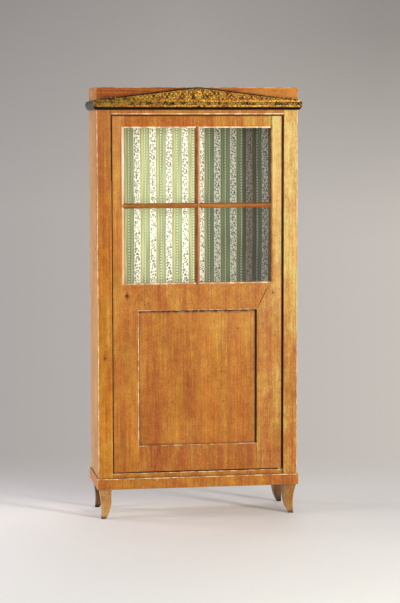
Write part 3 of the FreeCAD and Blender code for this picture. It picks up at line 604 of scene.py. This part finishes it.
# Attic
# The frieze above the cornice: cherry boards mitred at the front corners, laid with the grain
# level and darker than the case, with a pine back and a pine lid let into a rebate.
attic_tones = "#542203 #703405 #84440A #955816 #A56E28"
attic_low, attic_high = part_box("attic_front")
# The front board is painted paler towards its right end, where the lamp's light falls, and a pale line paints
# a highlight on its top edge
cherry("attic_front", "ZYX", 6.1, tones=attic_tones, polish=0.15, blend_along=("X", 0.0, 0.38, 0.55),
       lines=(("Z", attic_high.z, 0.0025, wear_and_highlight, 0.15, 0.55, attic_low.y + skin_depth),))
cherry("attic_left", "ZXY", 6.5)
cherry("attic_right", "ZXY", 6.9)
pine("attic_back", "ZYX", 7.2, back_tones)
pine("attic_lid", "YZX", 7.7, back_tones)


# Cornice and pediment
# A swelling torus in three mitred lengths, and a low gable standing on it. Both are pear wood
# stained black and polished, brown where the stain has rubbed off.
def ebonised(name, cut, bronzed_from, gloss):
    # Black-stained pear: near black, glossy, with brown showing on the arrises and fine scuffs.
    # Above one height it is washed with bronze powder, gone olive and brown in blotches.
    wood, shader, add = new_material(name)
    spot = add("TexCoord").outputs["Object"]
    place = add("VectorMath", (spot, (cut, cut * 2.1, cut * 0.6)))
    drawn = add("Mapping", {"Vector": place, "Scale": (0.08, 1.0, 1.0)})
    grain = add("TexNoise", {"Vector": drawn, "Scale": 160.0, "Detail": 4.0})
    ground = add("ValToRGB", (grain,), stops=((0.3, "#060302"), (0.7, "#100805")))
    round_edge, arris = arrises(add)
    patch = add("TexNoise", {"Vector": place, "Scale": 40.0, "Detail": 4.0})
    patches = add("MapRange", (patch, 0.45, 0.6, 0.0, 0.9))
    rub = add("Math", (arris, patches), "MULTIPLY")
    blotch = add("TexNoise", {"Vector": place, "Scale": 55.0, "Detail": 6.0, "Roughness": 0.7})
    bronze = add("ValToRGB", (blotch,), stops=(
        (0.4, "#0A0402"), (0.46, "#4A2A0C"), (0.52, "#7C5218"), (0.58, "#7C661C"), (0.65, "#95621F")))
    height = add("SeparateXYZ", (spot,))
    front = add("SeparateXYZ", (add("NewGeometry").outputs["True Normal"],))
    washed = add("MapRange", (height.outputs["Z"], bronzed_from, bronzed_from + 0.002))
    outward = add("MapRange", (front.outputs["Y"], -0.2, -0.4))
    bronzed = add("Math", (washed, outward), "MULTIPLY")
    ground = add("Mix", mixed(bronzed, ground, bronze), **tint_mix)
    worn = add("Mix", mixed(rub, ground, linear("#7A4A22")), **tint_mix)
    scuff = add("MapRange", (patch, 0.3, 0.7, 0.28, 0.42))
    skin = add("Bump", {"Height": grain, "Strength": 0.1, "Distance": 0.0005, "Normal": round_edge})
    feed(shader, {"Base Color": worn, "Roughness": scuff, "Normal": skin, "Specular IOR Level": gloss})
    return wood


cornice_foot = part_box("cornice_front")[0].z
bronze_line = cornice_foot + 0.014
dull_black, bright_black = 0.12, 0.8
for cut, (piece, gloss) in enumerate((("cornice_front", dull_black), ("cornice_left", bright_black),
                                      ("cornice_right", bright_black), ("pediment", dull_black))):
    dress(piece, ebonised("ebonised_pear_" + piece, 0.4 + cut * 0.3, bronze_line, gloss))


# Gilt mounts
# Pressed brass leaves, gilded and pinned over the black ground of the gable and the upper half
# of the torus: a rosette, two leafy sprays that thin out to the ends, and a laurel band. A black
# fillet runs along each slope.
gilt, gilt_shader, add = new_material("pressed_brass_gilt")
# Old gilding on brass: olive to yellow gold in patches, brown in the hollows, softly bright.
spot = add("TexCoord").outputs["Object"]
patch = add("TexNoise", {"Vector": spot, "Scale": 14.0, "Detail": 3.0})
tint = add("ValToRGB", (patch,), stops=(
    (0.36, "#C8842C"), (0.46, "#D89838"), (0.54, "#D4B23C"), (0.62, "#CE8E30")))
speck = add("TexNoise", {"Vector": spot, "Scale": 150.0, "Detail": 3.0, "Roughness": 0.75})
worn = add("MapRange", (speck, 0.4, 0.6, 0.02, 1.5))
hollow = add("AmbientOcclusion", {"Distance": 0.004}, samples=6)
brown = add("MapRange", (hollow.outputs["AO"], 0.35, 0.85, 0.15, 1.0))
# The gilding is made darker towards its left end
left_end = add("MapRange", (add("SeparateXYZ", (spot,)).outputs["X"], -0.45, -0.1, 0.42, 1.0))
darkened = add("Math", (worn, brown), "MULTIPLY")
darkened = add("Math", (darkened, left_end), "MULTIPLY")
tarnished = add("Mix", mixed(1.0, tint, darkened), **tint_times)
dull = add("MapRange", (speck, 0.35, 0.65, 0.65, 0.42))
pitted = add("Bump", {"Height": speck, "Strength": 0.4, "Distance": 0.001})
feed(gilt_shader, {"Base Color": tarnished, "Metallic": 0.5, "Roughness": dull, "Normal": pitted})

gable_low, gable_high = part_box("pediment")
gable_foot = gable_low.z
gable_half = gable_high.x
gable_rise = gable_high.z - gable_foot
gable_ground = gable_low.y + 0.0004
apex_half = 0.012
end_rise = 0.003
rim = 0.0045
bpy.ops.mesh.primitive_grid_add(x_subdivisions=2, y_subdivisions=5, size=1.0)
leaf = bpy.context.object
bpy.ops.object.mode_set(mode="EDIT")
# Rows from stalk to tip with their share of the width, then a raised midrib and a lifted tip
for row, share in ((-0.5, 0.2), (-0.3, 0.72), (-0.1, 1.0), (0.1, 0.86), (0.3, 0.5), (0.5, 0.06)):
    choose(leaf, lambda co: abs(co.y - row) < 0.05)
    bpy.ops.transform.resize(value=(share, 1.0, 1.0))
choose(leaf, lambda co: abs(co.x) < 1e-4)
bpy.ops.transform.translate(value=(0.0, 0.0, 0.2))
choose(leaf, lambda co: co.y > 0.45)
bpy.ops.transform.translate(value=(0.0, 0.0, 0.08))
bpy.ops.object.mode_set(mode="OBJECT")
back_of_leaf = leaf.modifiers.new("back", "SOLIDIFY")
back_of_leaf.thickness = 0.12
back_of_leaf.offset = -1.0
bpy.ops.object.modifier_apply(modifier="back")
bpy.ops.mesh.primitive_uv_sphere_add(segments=8, ring_count=5, radius=1.0)
berry = bpy.context.object
bpy.ops.object.mode_set(mode="EDIT")
choose(berry, lambda co: co.z > 0.9)
bpy.ops.transform.translate(value=(0.0, 0.0, -0.12))
bpy.ops.object.mode_set(mode="OBJECT")
mounts = []
crown = 0.0105


def slope_at(x):
    # Height of the gable above its foot.
    fall = (gable_rise - end_rise) / (gable_half - apex_half)
    return gable_rise - max(abs(x) - apex_half, 0.0) * fall


def lay_leaf(foot, along, out, length, width):
    # A leaf from its foot along a direction, with its back to the ground.
    along, out = Vector(along).normalized(), Vector(out)
    mounts.append(laid(leaf, along.cross(out) * width, along * length, out * crown,
                       Vector(foot) + along * (length / 2)))


def lay_berry(place, out, radius):
    out = Vector(out)
    side = out.orthogonal().normalized()
    mounts.append(laid(berry, side * radius, out.cross(side) * radius, out * radius, Vector(place)))


facing = (0.0, -1.0, 0.0)
# Lengths and widths of the leaves, their spacing, and where each row starts and stops
petal, spray_leaf = (0.0165, 0.0078), (0.0135, 0.0068)
edge_leaf, laurel_leaf = (0.0115, 0.0052), (0.0195, 0.0088)
spray_step, edge_step, laurel_step = 0.0095, 0.0098, 0.0125
spray_from, spray_to = 0.026, gable_half - 0.012
edge_from, edge_to = 0.006, gable_half - 0.02
laurel_from, laurel_to = 0.004, gable_half - 0.006
spray_row, spray_tilt = 0.0125, 0.75
heart_berry, spray_berry, laurel_berry = 0.0048, 0.0019, 0.0017
petals, petal_gap = 12, 0.004
heart = Vector((0.0, gable_ground, gable_foot + gable_rise * 0.47))
for number in range(petals):
    turn = 2 * math.pi * number / petals
    ray = Vector((math.cos(turn), 0.0, math.sin(turn)))
    lay_leaf(heart + ray * petal_gap, ray, facing, *petal)
lay_berry(heart, facing, heart_berry)
# The torus: circles through its bulge, from the cornice's own section, with a lean and a tilt
bulge, laurel_sink = 0.025, 0.0007
torus_rows = ((0.00075, 0.01625, 0.62, 0.5), (-0.01504, 0.03204, -0.13, -0.5))
for hand in (-1.0, 1.0):
    x = spray_from
    number = 0
    while x < spray_to:
        room = slope_at(x) - 2 * rim
        rows = max(1, round(room / spray_row))
        for row in range(rows):
            height = gable_foot + rim + room * (row + 0.5) / rows
            tilt = spray_tilt * (-1) ** (row + number)
            lay_leaf((hand * x, gable_ground, height), (hand * math.cos(tilt), 0.0, math.sin(tilt)), facing,
                     *spray_leaf)
            if (row + number) % 3 == 0:
                lay_berry((hand * (x + 0.004), gable_ground, height + 0.0055), facing, spray_berry)
        x += spray_step
        number += 1
    edge = Vector((hand * (gable_half - apex_half), 0.0, end_rise - gable_rise)).normalized()
    run = edge_from
    while run < edge_to:
        x = hand * (apex_half + run)
        lay_leaf((x, gable_ground, gable_foot + slope_at(x) - rim - 0.001), edge, facing, *edge_leaf)
        lay_leaf((x, gable_ground, gable_foot + 0.003), (hand, 0.0, 0.1), facing, *edge_leaf)
        run += edge_step
    for centre_in, radius, lean, tilt in torus_rows:
        out = Vector((0.0, -math.cos(lean), math.sin(lean)))
        up = Vector((0.0, math.sin(lean), math.cos(lean)))
        axis = Vector((0.0, gable_high.y - centre_in, cornice_foot + bulge))
        run = laurel_from
        while run < laurel_to:
            foot = axis + out * (radius - laurel_sink) + Vector((hand * run, 0.0, 0.0))
            along = Vector((hand * math.cos(tilt), 0.0, 0.0)) + up * math.sin(tilt)
            lay_leaf(foot, along, out, *laurel_leaf)
            run += laurel_step
            if lean > 0:
                lay_berry(foot - up * 0.006 + Vector((0.0, -0.002, 0.0)), out, laurel_berry)
joined(mounts, "gilt_mounts", gilt, "case")
bpy.data.objects.remove(leaf)
bpy.data.objects.remove(berry)

# The black fillets are half sunk in the ground, thin out downwards and meet at the top
fillet = 0.0032
fillets = []
for hand in (-1.0, 1.0):
    top = Vector((hand * apex_half * 0.4, gable_ground, gable_high.z - rim * 0.55))
    end = Vector((hand * (gable_half - 0.004), gable_ground, gable_foot + end_rise - rim * 0.2))
    along = end - top
    bpy.ops.mesh.primitive_cylinder_add(vertices=8, radius=fillet, depth=1.0)
    rod = bpy.context.object
    bpy.ops.object.mode_set(mode="EDIT")
    choose(rod, lambda co: co.z > 0)
    bpy.ops.transform.resize(value=(0.5, 0.5, 1.0))
    bpy.ops.object.mode_set(mode="OBJECT")
    across = along.normalized().cross(Vector(facing))
    fillets.append(laid(rod, Vector(facing), across, along, (top + end) / 2))
    bpy.data.objects.remove(rod)
fillet_black = ebonised("ebonised_pear_fillets", 1.9, gable_high.z, dull_black)
joined(fillets, "gable_fillets", fillet_black, "case")


# Door frame
# Gunstock stiles, broad beside the panel and narrow beside the glass, with three rails. All
# are veneered upright in cherry, so that only the sloping shoulders show where they meet.
door_leaf = 0.162
flush_rub = 0.05
door_low, door_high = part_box("door_hinge_stile")
door_edge = door_high.x
door_skin = door_low.y + skin_depth
panel_groove = 0.008
board_low, board_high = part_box("door_panel")
panel_half = board_high.x - panel_groove
panel_low, panel_top = board_low.z + panel_groove, board_high.z - panel_groove
glass_rebate = 0.0075
glass_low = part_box("pane_lower_left")[0].z + glass_rebate
glass_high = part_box("pane_upper_left")[1].z - glass_rebate
glass_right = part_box("pane_upper_right")[1].x - glass_rebate
bevel_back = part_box("pane_upper_right")[0].y
# On the door, dark lines paint the shadow in the gaps round it and the shade on the bevel at the glass's
# right edge, and pale lines paint highlights on the arrises round the glass and the panel. The stiles are
# painted paler upwards and the top rail paler to the right, the lamp's sheen
top_line = ("Z", door_high.z, 0.002, dark_painted_shadow, 1.0, 1.0, door_skin)
cherry("door_lock_stile", "XYZ", 8.2, rubbed=flush_rub, blend_along=("Z", 0.9, 1.5, 0.12),
       lines=(top_line, ("X", -door_edge, 0.0012, dark_painted_shadow, 0.0, 0.6, door_skin),
              ("X", -panel_half, 0.0026, wear_and_highlight, 0.3, 0.85, door_skin, panel_low)),
       knots=((-0.312, 0.827, 0.0016), (-0.291, 0.41, 0.0012), (-0.345, 1.41, 0.001)))
# Yellower tones for the hinge stile, which paint the lamp's sheen on it
sheen_lit_tones = "#78380A #8A4C0D #986012 #A48032 #B09856"
cherry("door_hinge_stile", "XYZ", 8.9, tones=sheen_lit_tones, rubbed=flush_rub, polish=0.45,
       blend_along=("Z", 0.8, 1.5, 0.4),
       lines=(top_line, ("X", door_edge, 0.006, red_painted_shadow, 1.0, 1.0, door_skin),
              ("X", glass_right, 0.009, "#5A2A08", 0.8, 1.0, bevel_back, glass_low)),
       knots=((0.330, 0.974, 0.0042), (0.269, 0.637, 0.0014), (0.352, 0.43, 0.0012), (0.345, 1.22, 0.001)))
rail_tones = "#73330A #85450D #935812 #9E7428 #AC8E48"
cherry("door_top_rail", "XYZ", 9.3, leaf=door_leaf, tones=rail_tones, rubbed=flush_rub, polish=0.18,
       blend_along=("X", 0.05, 0.32, 0.38),
       lines=(top_line, ("Z", glass_high + 0.003, 0.004, wear_and_highlight, 0.3, 0.8, bevel_back)))
cherry("door_middle_rail", "XYZ", 9.8, leaf=door_leaf, rubbed=flush_rub,
       lines=(("Z", panel_top, 0.0025, wear_and_highlight, 0.1, 0.8, door_skin),
              ("Z", glass_low - 0.003, 0.004, wear_and_highlight, 0.2, 0.7, bevel_back)),
       knots=((-0.232, 0.929, 0.0017), (0.02, 0.955, 0.0009)))
cherry("door_bottom_rail", "XYZ", 10.4, leaf=door_leaf, tones=rail_tones, rubbed=flush_rub,
       lines=(("Z", panel_low, 0.0025, wear_and_highlight, 0.1, 0.7, door_skin),))

# Two joints at the hinge side have opened by a hair and hold dark wax
wax, wax_shader, add = new_material("dark_wax")
# Wax and dust in a joint: brown black, dull, broken by paler crumbs.
crumb = add("TexNoise", {"Vector": add("TexCoord").outputs["Object"], "Scale": 160.0, "Detail": 3.0})
tint = add("ValToRGB", (crumb,), stops=((0.46, "#0A0301"), (0.54, "#6A3A14")))
feed(wax_shader, {"Base Color": tint, "Roughness": 0.8, "Specular IOR Level": 0.1})
wax_proud = 0.00005
wax_depth = 0.0004
bpy.ops.mesh.primitive_cube_add(size=1.0)
sliver = bpy.context.object
bpy.ops.object.mode_set(mode="EDIT")
choose(sliver, lambda co: abs(co.y) > 0.4)
bpy.ops.mesh.subdivide(number_cuts=3)
choose(sliver, lambda co: abs(co.y) > 0.4)
bpy.ops.transform.resize(value=(0.35, 1.0, 1.0))
bpy.ops.object.mode_set(mode="OBJECT")
slivers = []
door_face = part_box("door_middle_rail")[0].y
for low_x, low_z, high_x, high_z, width in ((0.2612, 0.9070, 0.3128, 1.0102, 0.0036),
                                            (0.2590, 0.2060, 0.2590, 0.3130, 0.0009)):
    foot = Vector((low_x, door_face, low_z))
    along = Vector((high_x, door_face, high_z)) - foot
    out = Vector(facing)
    centre = foot + along / 2 + out * (wax_proud - wax_depth / 2)
    slivers.append(laid(sliver, along.normalized().cross(out) * width, along, out * wax_depth, centre))
joined(slivers, "joint_wax", wax, "door")
bpy.data.objects.remove(sliver)


# Door panel
# One flat panel veneered in four upright leaves, loose in grooves 9 mm behind the frame. Painted
# shadow lies along its edges, widest at the right and the top, and a few pin knots are scattered
# over it.
panel_leaf = 0.1295
panel_knots = ((-0.218, 0.778, 0.0022), (0.163, 0.863, 0.0013), (0.176, 0.819, 0.0018),
               (-0.220, 0.628, 0.0014), (0.048, 0.613, 0.0018), (-0.218, 0.503, 0.002),
               (-0.112, 0.503, 0.0024), (0.111, 0.502, 0.0022), (-0.017, 0.394, 0.0016),
               (0.209, 0.338, 0.0022))
panel_skin = board_low.y + skin_depth
cherry("door_panel", "XYZ", 11.1, leaf=panel_leaf, knots=panel_knots, lines=(
    ("X", panel_half, 0.014, dark_painted_shadow, 1.0, 1.0, panel_skin),
    ("X", -panel_half, 0.005, dark_painted_shadow, 0.5, 0.9, panel_skin),
    ("Z", panel_top, 0.015, dark_painted_shadow, 0.55, 1.0, panel_skin)))


# Glazing
# Solid cherry bars of rounded section, mitred where they cross, and four panes of old sheet
# glass held from behind by butted beads.
bar_tones = "#5A2A08 #723E0E #855016 #976224 #A77638"
bar_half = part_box("muntin_vertical")[1].x
# The upright bar's left half is painted darker, a painted shade, and a pale line paints a highlight on its
# right edge
cherry("muntin_vertical", "XYZ", 12.2, tones=bar_tones, polish=0.3, lines=(
    ("X", -bar_half * 0.35, 0.007, "#4A2206", 0.4, 0.6, bevel_back),
    ("X", bar_half, 0.0035, wear_and_highlight, 0.5, 0.9, bevel_back)))
cherry("muntin_left", "ZYX", 12.7, tones=bar_tones, polish=0.25)
cherry("muntin_right", "ZYX", 13.1, tones=bar_tones, polish=0.25)
cherry("glazing_beads", "XYZ", 13.6)

# Old sheet glass: clear with a faint green tint, and slow waves that bend its reflections.
glass, glass_shader, add = new_material("old_sheet_glass")
waves = add("TexNoise", {"Vector": add("TexCoord").outputs["Object"], "Scale": 14.0, "Detail": 1.0})
waved = add("Bump", {"Height": waves, "Strength": 0.06, "Distance": 0.002})
feed(glass_shader, {"Base Color": linear("#FBFDFB"), "Roughness": 0.0, "IOR": 1.5,
                    "Transmission Weight": 1.0, "Normal": waved})
ray = add("LightPath")
passing = add("Math", (ray.outputs["Is Shadow Ray"], ray.outputs["Is Diffuse Ray"]), "MAXIMUM")
clear = add("BsdfTransparent", {"Color": linear("#FFFFFF")})
either = add("MixShader", (passing, glass_shader, clear))
feed(glass.node_tree.nodes["Material Output"], {"Surface": either})
for pane in ("pane_upper_left", "pane_upper_right", "pane_lower_left", "pane_lower_right"):
    dress(pane, glass)


# Pivots and strike
# Sawn brass plates let in flush, the door's with pins and the case's with sockets, a washer
# that carries the door, and a strike plate for the bolt.
brass, brass_shader, add = new_material("aged_brass")
# Filed brass gone brown: warm yellow metal, streaked by the file, dull in patches.
spot = add("TexCoord").outputs["Object"]
tarnish = add("TexNoise", {"Vector": spot, "Scale": 90.0, "Detail": 4.0})
tint = add("ValToRGB", (tarnish,), stops=((0.35, "#8A6428"), (0.65, "#C39A4E")))
drawn = add("Mapping", {"Vector": spot, "Scale": (0.1, 1.0, 1.0)})
filed = add("TexNoise", {"Vector": drawn, "Scale": 900.0, "Detail": 2.0})
dull = add("MapRange", (tarnish, 0.35, 0.65, 0.5, 0.28))
scored = add("Bump", {"Height": filed, "Strength": 0.15, "Distance": 0.0003})
feed(brass_shader, {"Base Color": tint, "Metallic": 1.0, "Roughness": dull, "Normal": scored})
for piece in ("case_pivots", "door_pivots", "pivot_washer", "strike_plate"):
    dress(piece, brass)


# Lock
# An inlet lock of forged iron sheet: plate and forend in one, a cap over the works, a bolt
# with a notch for the key, and a leaf spring that presses on it.
for piece in ("lock_plate", "lock_cap", "lock_spring", "lock_bolt"):
    dress(piece, iron)


# Screws
# Hand-cut iron wood screws with countersunk heads and narrow slots that are seldom in line,
# four in the lock plate, two in the strike plate and two in each pivot plate.
screw_head = 0.0032
screw_shank = 0.0015
screw_length, screw_tip = 0.011, 0.45
head_rim, head_crown = 0.0005, 0.00012
slot_width, saw_height = 0.0008, 0.0016
bpy.ops.mesh.primitive_cylinder_add(vertices=24, radius=screw_head, depth=screw_head - screw_shank,
                                    location=(0.0, 0.0, (screw_shank - screw_head) / 2))
screw = bpy.context.object
bpy.ops.object.transform_apply(location=True)
bpy.ops.object.mode_set(mode="EDIT")
choose(screw, lambda co: co.z < -screw_shank / 2)
bpy.ops.transform.resize(value=(screw_shank / screw_head, screw_shank / screw_head, 1.0))
bpy.ops.mesh.extrude_region_move(TRANSFORM_OT_translate={"value": (0.0, 0.0, -screw_length)})
bpy.ops.transform.resize(value=(screw_tip, screw_tip, 1.0))
choose(screw, lambda co: co.z > -1e-6)
bpy.ops.mesh.inset(thickness=head_rim, depth=0.0)
bpy.ops.transform.translate(value=(0.0, 0.0, head_crown))
bpy.ops.object.mode_set(mode="OBJECT")
bpy.ops.mesh.primitive_cube_add(size=1.0, location=(0.0, 0.0, 0.0))
saw = bpy.context.object
saw.scale = (4 * screw_head, slot_width, saw_height)
bpy.ops.object.transform_apply(scale=True)
bpy.context.view_layer.objects.active = screw
sawn = screw.modifiers.new("slot", "BOOLEAN")
sawn.object = saw
sawn.operation = "DIFFERENCE"
bpy.ops.object.modifier_apply(modifier="slot")
bpy.data.objects.remove(saw)


def driven(place, out, turn):
    # A screw driven in until its head is flush, with its slot turned about the axis.
    out = Vector(out)
    side = out.orthogonal().normalized()
    across = Matrix.Rotation(turn, 3, out) @ side
    return laid(screw, across, out.cross(across), out, place)


pivot_low, pivot_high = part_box("door_pivots")
pivot_y = (pivot_low.y + pivot_high.y) / 2
pivot_screws = [pivot_high.x - inset for inset in (0.0216, 0.0326)]
plate_low, plate_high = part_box("lock_plate")
plate_lap, forend_lap = 0.005, 0.02
lock_x = (plate_low.x + forend_lap, plate_high.x - 2 * plate_lap)
strike_low, strike_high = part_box("strike_plate")
strike_y = (strike_low.y + strike_high.y) / 2
strike_lap = 0.006
door_set = [driven((x, pivot_y, z), (0.0, 0.0, up), 0.5 + 9.0 * x) for x in pivot_screws
            for z, up in ((door_high.z, 1.0), (door_low.z, -1.0))]
door_set += [driven((x, plate_high.y, z), (0.0, 1.0, 0.0), 40.0 * (x + z)) for x in lock_x
             for z in (plate_low.z + plate_lap, plate_high.z - plate_lap)]
case_set = [driven((x, pivot_y, z), (0.0, 0.0, up), 0.9 + 7.0 * x) for x in pivot_screws
            for z, up in ((opening_top, -1.0), (opening_low, 1.0))]
case_set += [driven((strike_high.x, strike_y, z), (1.0, 0.0, 0.0), 30.0 * z)
             for z in (strike_low.z + strike_lap, strike_high.z - strike_lap)]
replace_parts(joined(door_set, "wood_screws_door", iron, "door"), "door_screws")
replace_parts(joined(case_set, "wood_screws_case", iron, "case"), "case_screws")
bpy.data.objects.remove(screw)


# Escutcheon
# A lozenge of darker plum wood let in flush round the keyhole, with its grain upright, and
# polished with the door.
plum_tones = "#4A1E06 #63300C #774010 #8A5118 #9C6424"
cherry("escutcheon", "XYZ", 14.2, tones=plum_tones, polish=0.2, kind="plum")


# Floor and background
# A plain pale studio floor of matt paper, and beyond it a soft grey ground, a little darker to
# the left and above, that only the camera, gloss and glass see.
stand = Vector((-1.30358, -8.30915, 1.68198))
floor_edge, ground_edge = -0.2, -0.166
lit_reach, plain_reach, floor_reach = 1.9, 2.6, 80.0
bpy.ops.mesh.primitive_circle_add(vertices=96, radius=floor_reach, fill_type="NGON", location=(0.0, 0.0, 0.0))
floor = bpy.context.object
floor.name = "studio_floor"


def grey_ground(add, sight):
    # The soft grey by direction from the stand: lighter to the right, darker above and in the
    # upper right. With it come the drop of the sight and whether the ray is one that sees it.
    aim = add("SeparateXYZ", (sight,))
    across = add("MapRange", (aim.outputs["X"], 0.04, 0.28))
    level = add("ValToRGB", (across,), stops=((0.0, "#ACA6A4"), (1.0, "#CAC3BC")))
    upper = add("MapRange", (aim.outputs["Z"], -0.04, 0.07, 1.0, 0.7))
    rightward = add("MapRange", (aim.outputs["X"], 0.15, 0.25))
    upward = add("MapRange", (aim.outputs["Z"], -0.06, 0.05))
    corner = add("Math", (rightward, upward), "MULTIPLY")
    far_corner = add("MapRange", {0: corner, 3: 1.0, 4: 0.72})
    dimmed = add("Math", (upper, far_corner), "MULTIPLY")
    shaded = add("Mix", mixed(1.0, level, dimmed), **tint_times)
    ray = add("LightPath").outputs
    seen = add("Math", (ray["Is Camera Ray"], ray["Is Glossy Ray"]), "MAXIMUM")
    seen = add("Math", (seen, ray["Is Transmission Ray"]), "MAXIMUM")
    return shaded, aim.outputs["Z"], seen


paper, paper_shader, add = new_material("studio_floor_paper")
feed(paper_shader, {"Base Color": linear("#F1F0F4"), "Roughness": 0.7})
spot = add("TexCoord").outputs["Object"]
toward = add("VectorMath", (spot, stand), "SUBTRACT")
grey, drop, seen = grey_ground(add, add("VectorMath", (toward,), "NORMALIZE"))
glow = add("Emission", {"Color": grey, "Strength": 1.0})
blend_along = add("MapRange", (drop, floor_edge, ground_edge), **smooth)
far = add("Math", (seen, blend_along), "MULTIPLY")
# Out of the lamps' evenly lit middle the paper is seen at one plain pale level
plain = add("Emission", {"Color": linear("#E6DFD9"), "Strength": 1.0})
stretch = add("VectorMath", (spot,), "LENGTH")
outside = add("MapRange", (stretch, lit_reach, plain_reach), **smooth)
outside = add("Math", (seen, outside), "MULTIPLY")
spread = add("MixShader", (outside, paper_shader, plain))
both = add("MixShader", (far, spread, glow))
feed(paper.node_tree.nodes["Material Output"], {"Surface": both})
floor.data.materials.append(paper)

sky = bpy.data.worlds.new("studio_air")
sky.use_nodes = True
add = partial(put, sky.node_tree)
bpy.context.scene.world = sky
air = sky.node_tree.nodes["Background"]
feed(air, {"Color": linear("#FFFDFA"), "Strength": 0.16})
grey, drop, seen = grey_ground(add, add("TexCoord").outputs["Generated"])
wall = add("Background", {"Color": grey, "Strength": 1.0})
either = add("MixShader", (seen, air, wall))
feed(sky.node_tree.nodes["World Output"], {"Surface": either})


# Studio lamps
# A strip at the height of the glass, well to the right, that throws the stile's shadow on the
# lining, a small box that glows in the right stiles, two fills in front, two at the left that
# polish and glass don't mirror, and one behind.
def soft_box(name, place, aim_at, width, height, watts, tint, mirrored=True):
    # A rectangular lamp turned towards a point, which polish and glass mirror or not.
    lamp = bpy.data.lights.new(name, "AREA")
    lamp.shape = "RECTANGLE"
    lamp.size = width
    lamp.size_y = height
    lamp.energy = watts
    lamp.color = linear(tint)[:3]
    holder = bpy.data.objects.new(name, lamp)
    bpy.context.scene.collection.objects.link(holder)
    holder.location = place
    holder.rotation_euler = (Vector(aim_at) - Vector(place)).to_track_quat("-Z", "Y").to_euler()
    holder.visible_glossy = holder.visible_transmission = mirrored


soft_box("key_strip", (5.9, -6.5, 1.6), (0.0, -0.1, 1.0), 0.8, 1.8, 820.0, "#FFFAF2")
soft_box("glow_box", (1.4, -3.96, 1.4), (0.3, -0.1, 1.4), 0.54, 0.9, 38.0, "#FAFFCE")
soft_box("front_box", (-1.0, -5.5, 2.2), (0.0, -0.1, 1.1), 1.6, 0.8, 52.0, "#F2F6FF")
soft_box("high_box", (0.95, -5.2, 4.6), (0.0, -0.1, 1.1), 0.7, 0.6, 48.0, "#FFFCF2")
soft_box("left_box", (-4.3, -0.35, 0.95), (-0.4, 0.0, 0.95), 1.4, 1.6, 150.0, "#FFFCFA", mirrored=False)
soft_box("rear_left_box", (-4.2, 1.8, 1.1), (-0.4, 0.0, 1.0), 1.2, 1.6, 90.0, "#FFFCFA", mirrored=False)
soft_box("back_box", (0.9, 2.4, 3.6), (0.0, 0.3, 0.0), 2.4, 1.2, 30.0, "#FFFFFF")


# Camera
# A long lens at eye height, to the left of the middle, looking slightly down, as in the
# photograph. The picture's colours are kept plain.
camera_data = bpy.data.cameras.new("camera")
camera_data.lens = 114.804
camera_data.sensor_width = 36.0
camera_data.clip_end = 200.0
camera = bpy.data.objects.new("camera", camera_data)
bpy.context.scene.collection.objects.link(camera)
camera.location = stand
camera.rotation_euler = (math.pi / 2 - 0.08943, 0.00156, -0.15939)
bpy.context.scene.camera = camera
bpy.context.scene.view_settings.view_transform = "Standard"
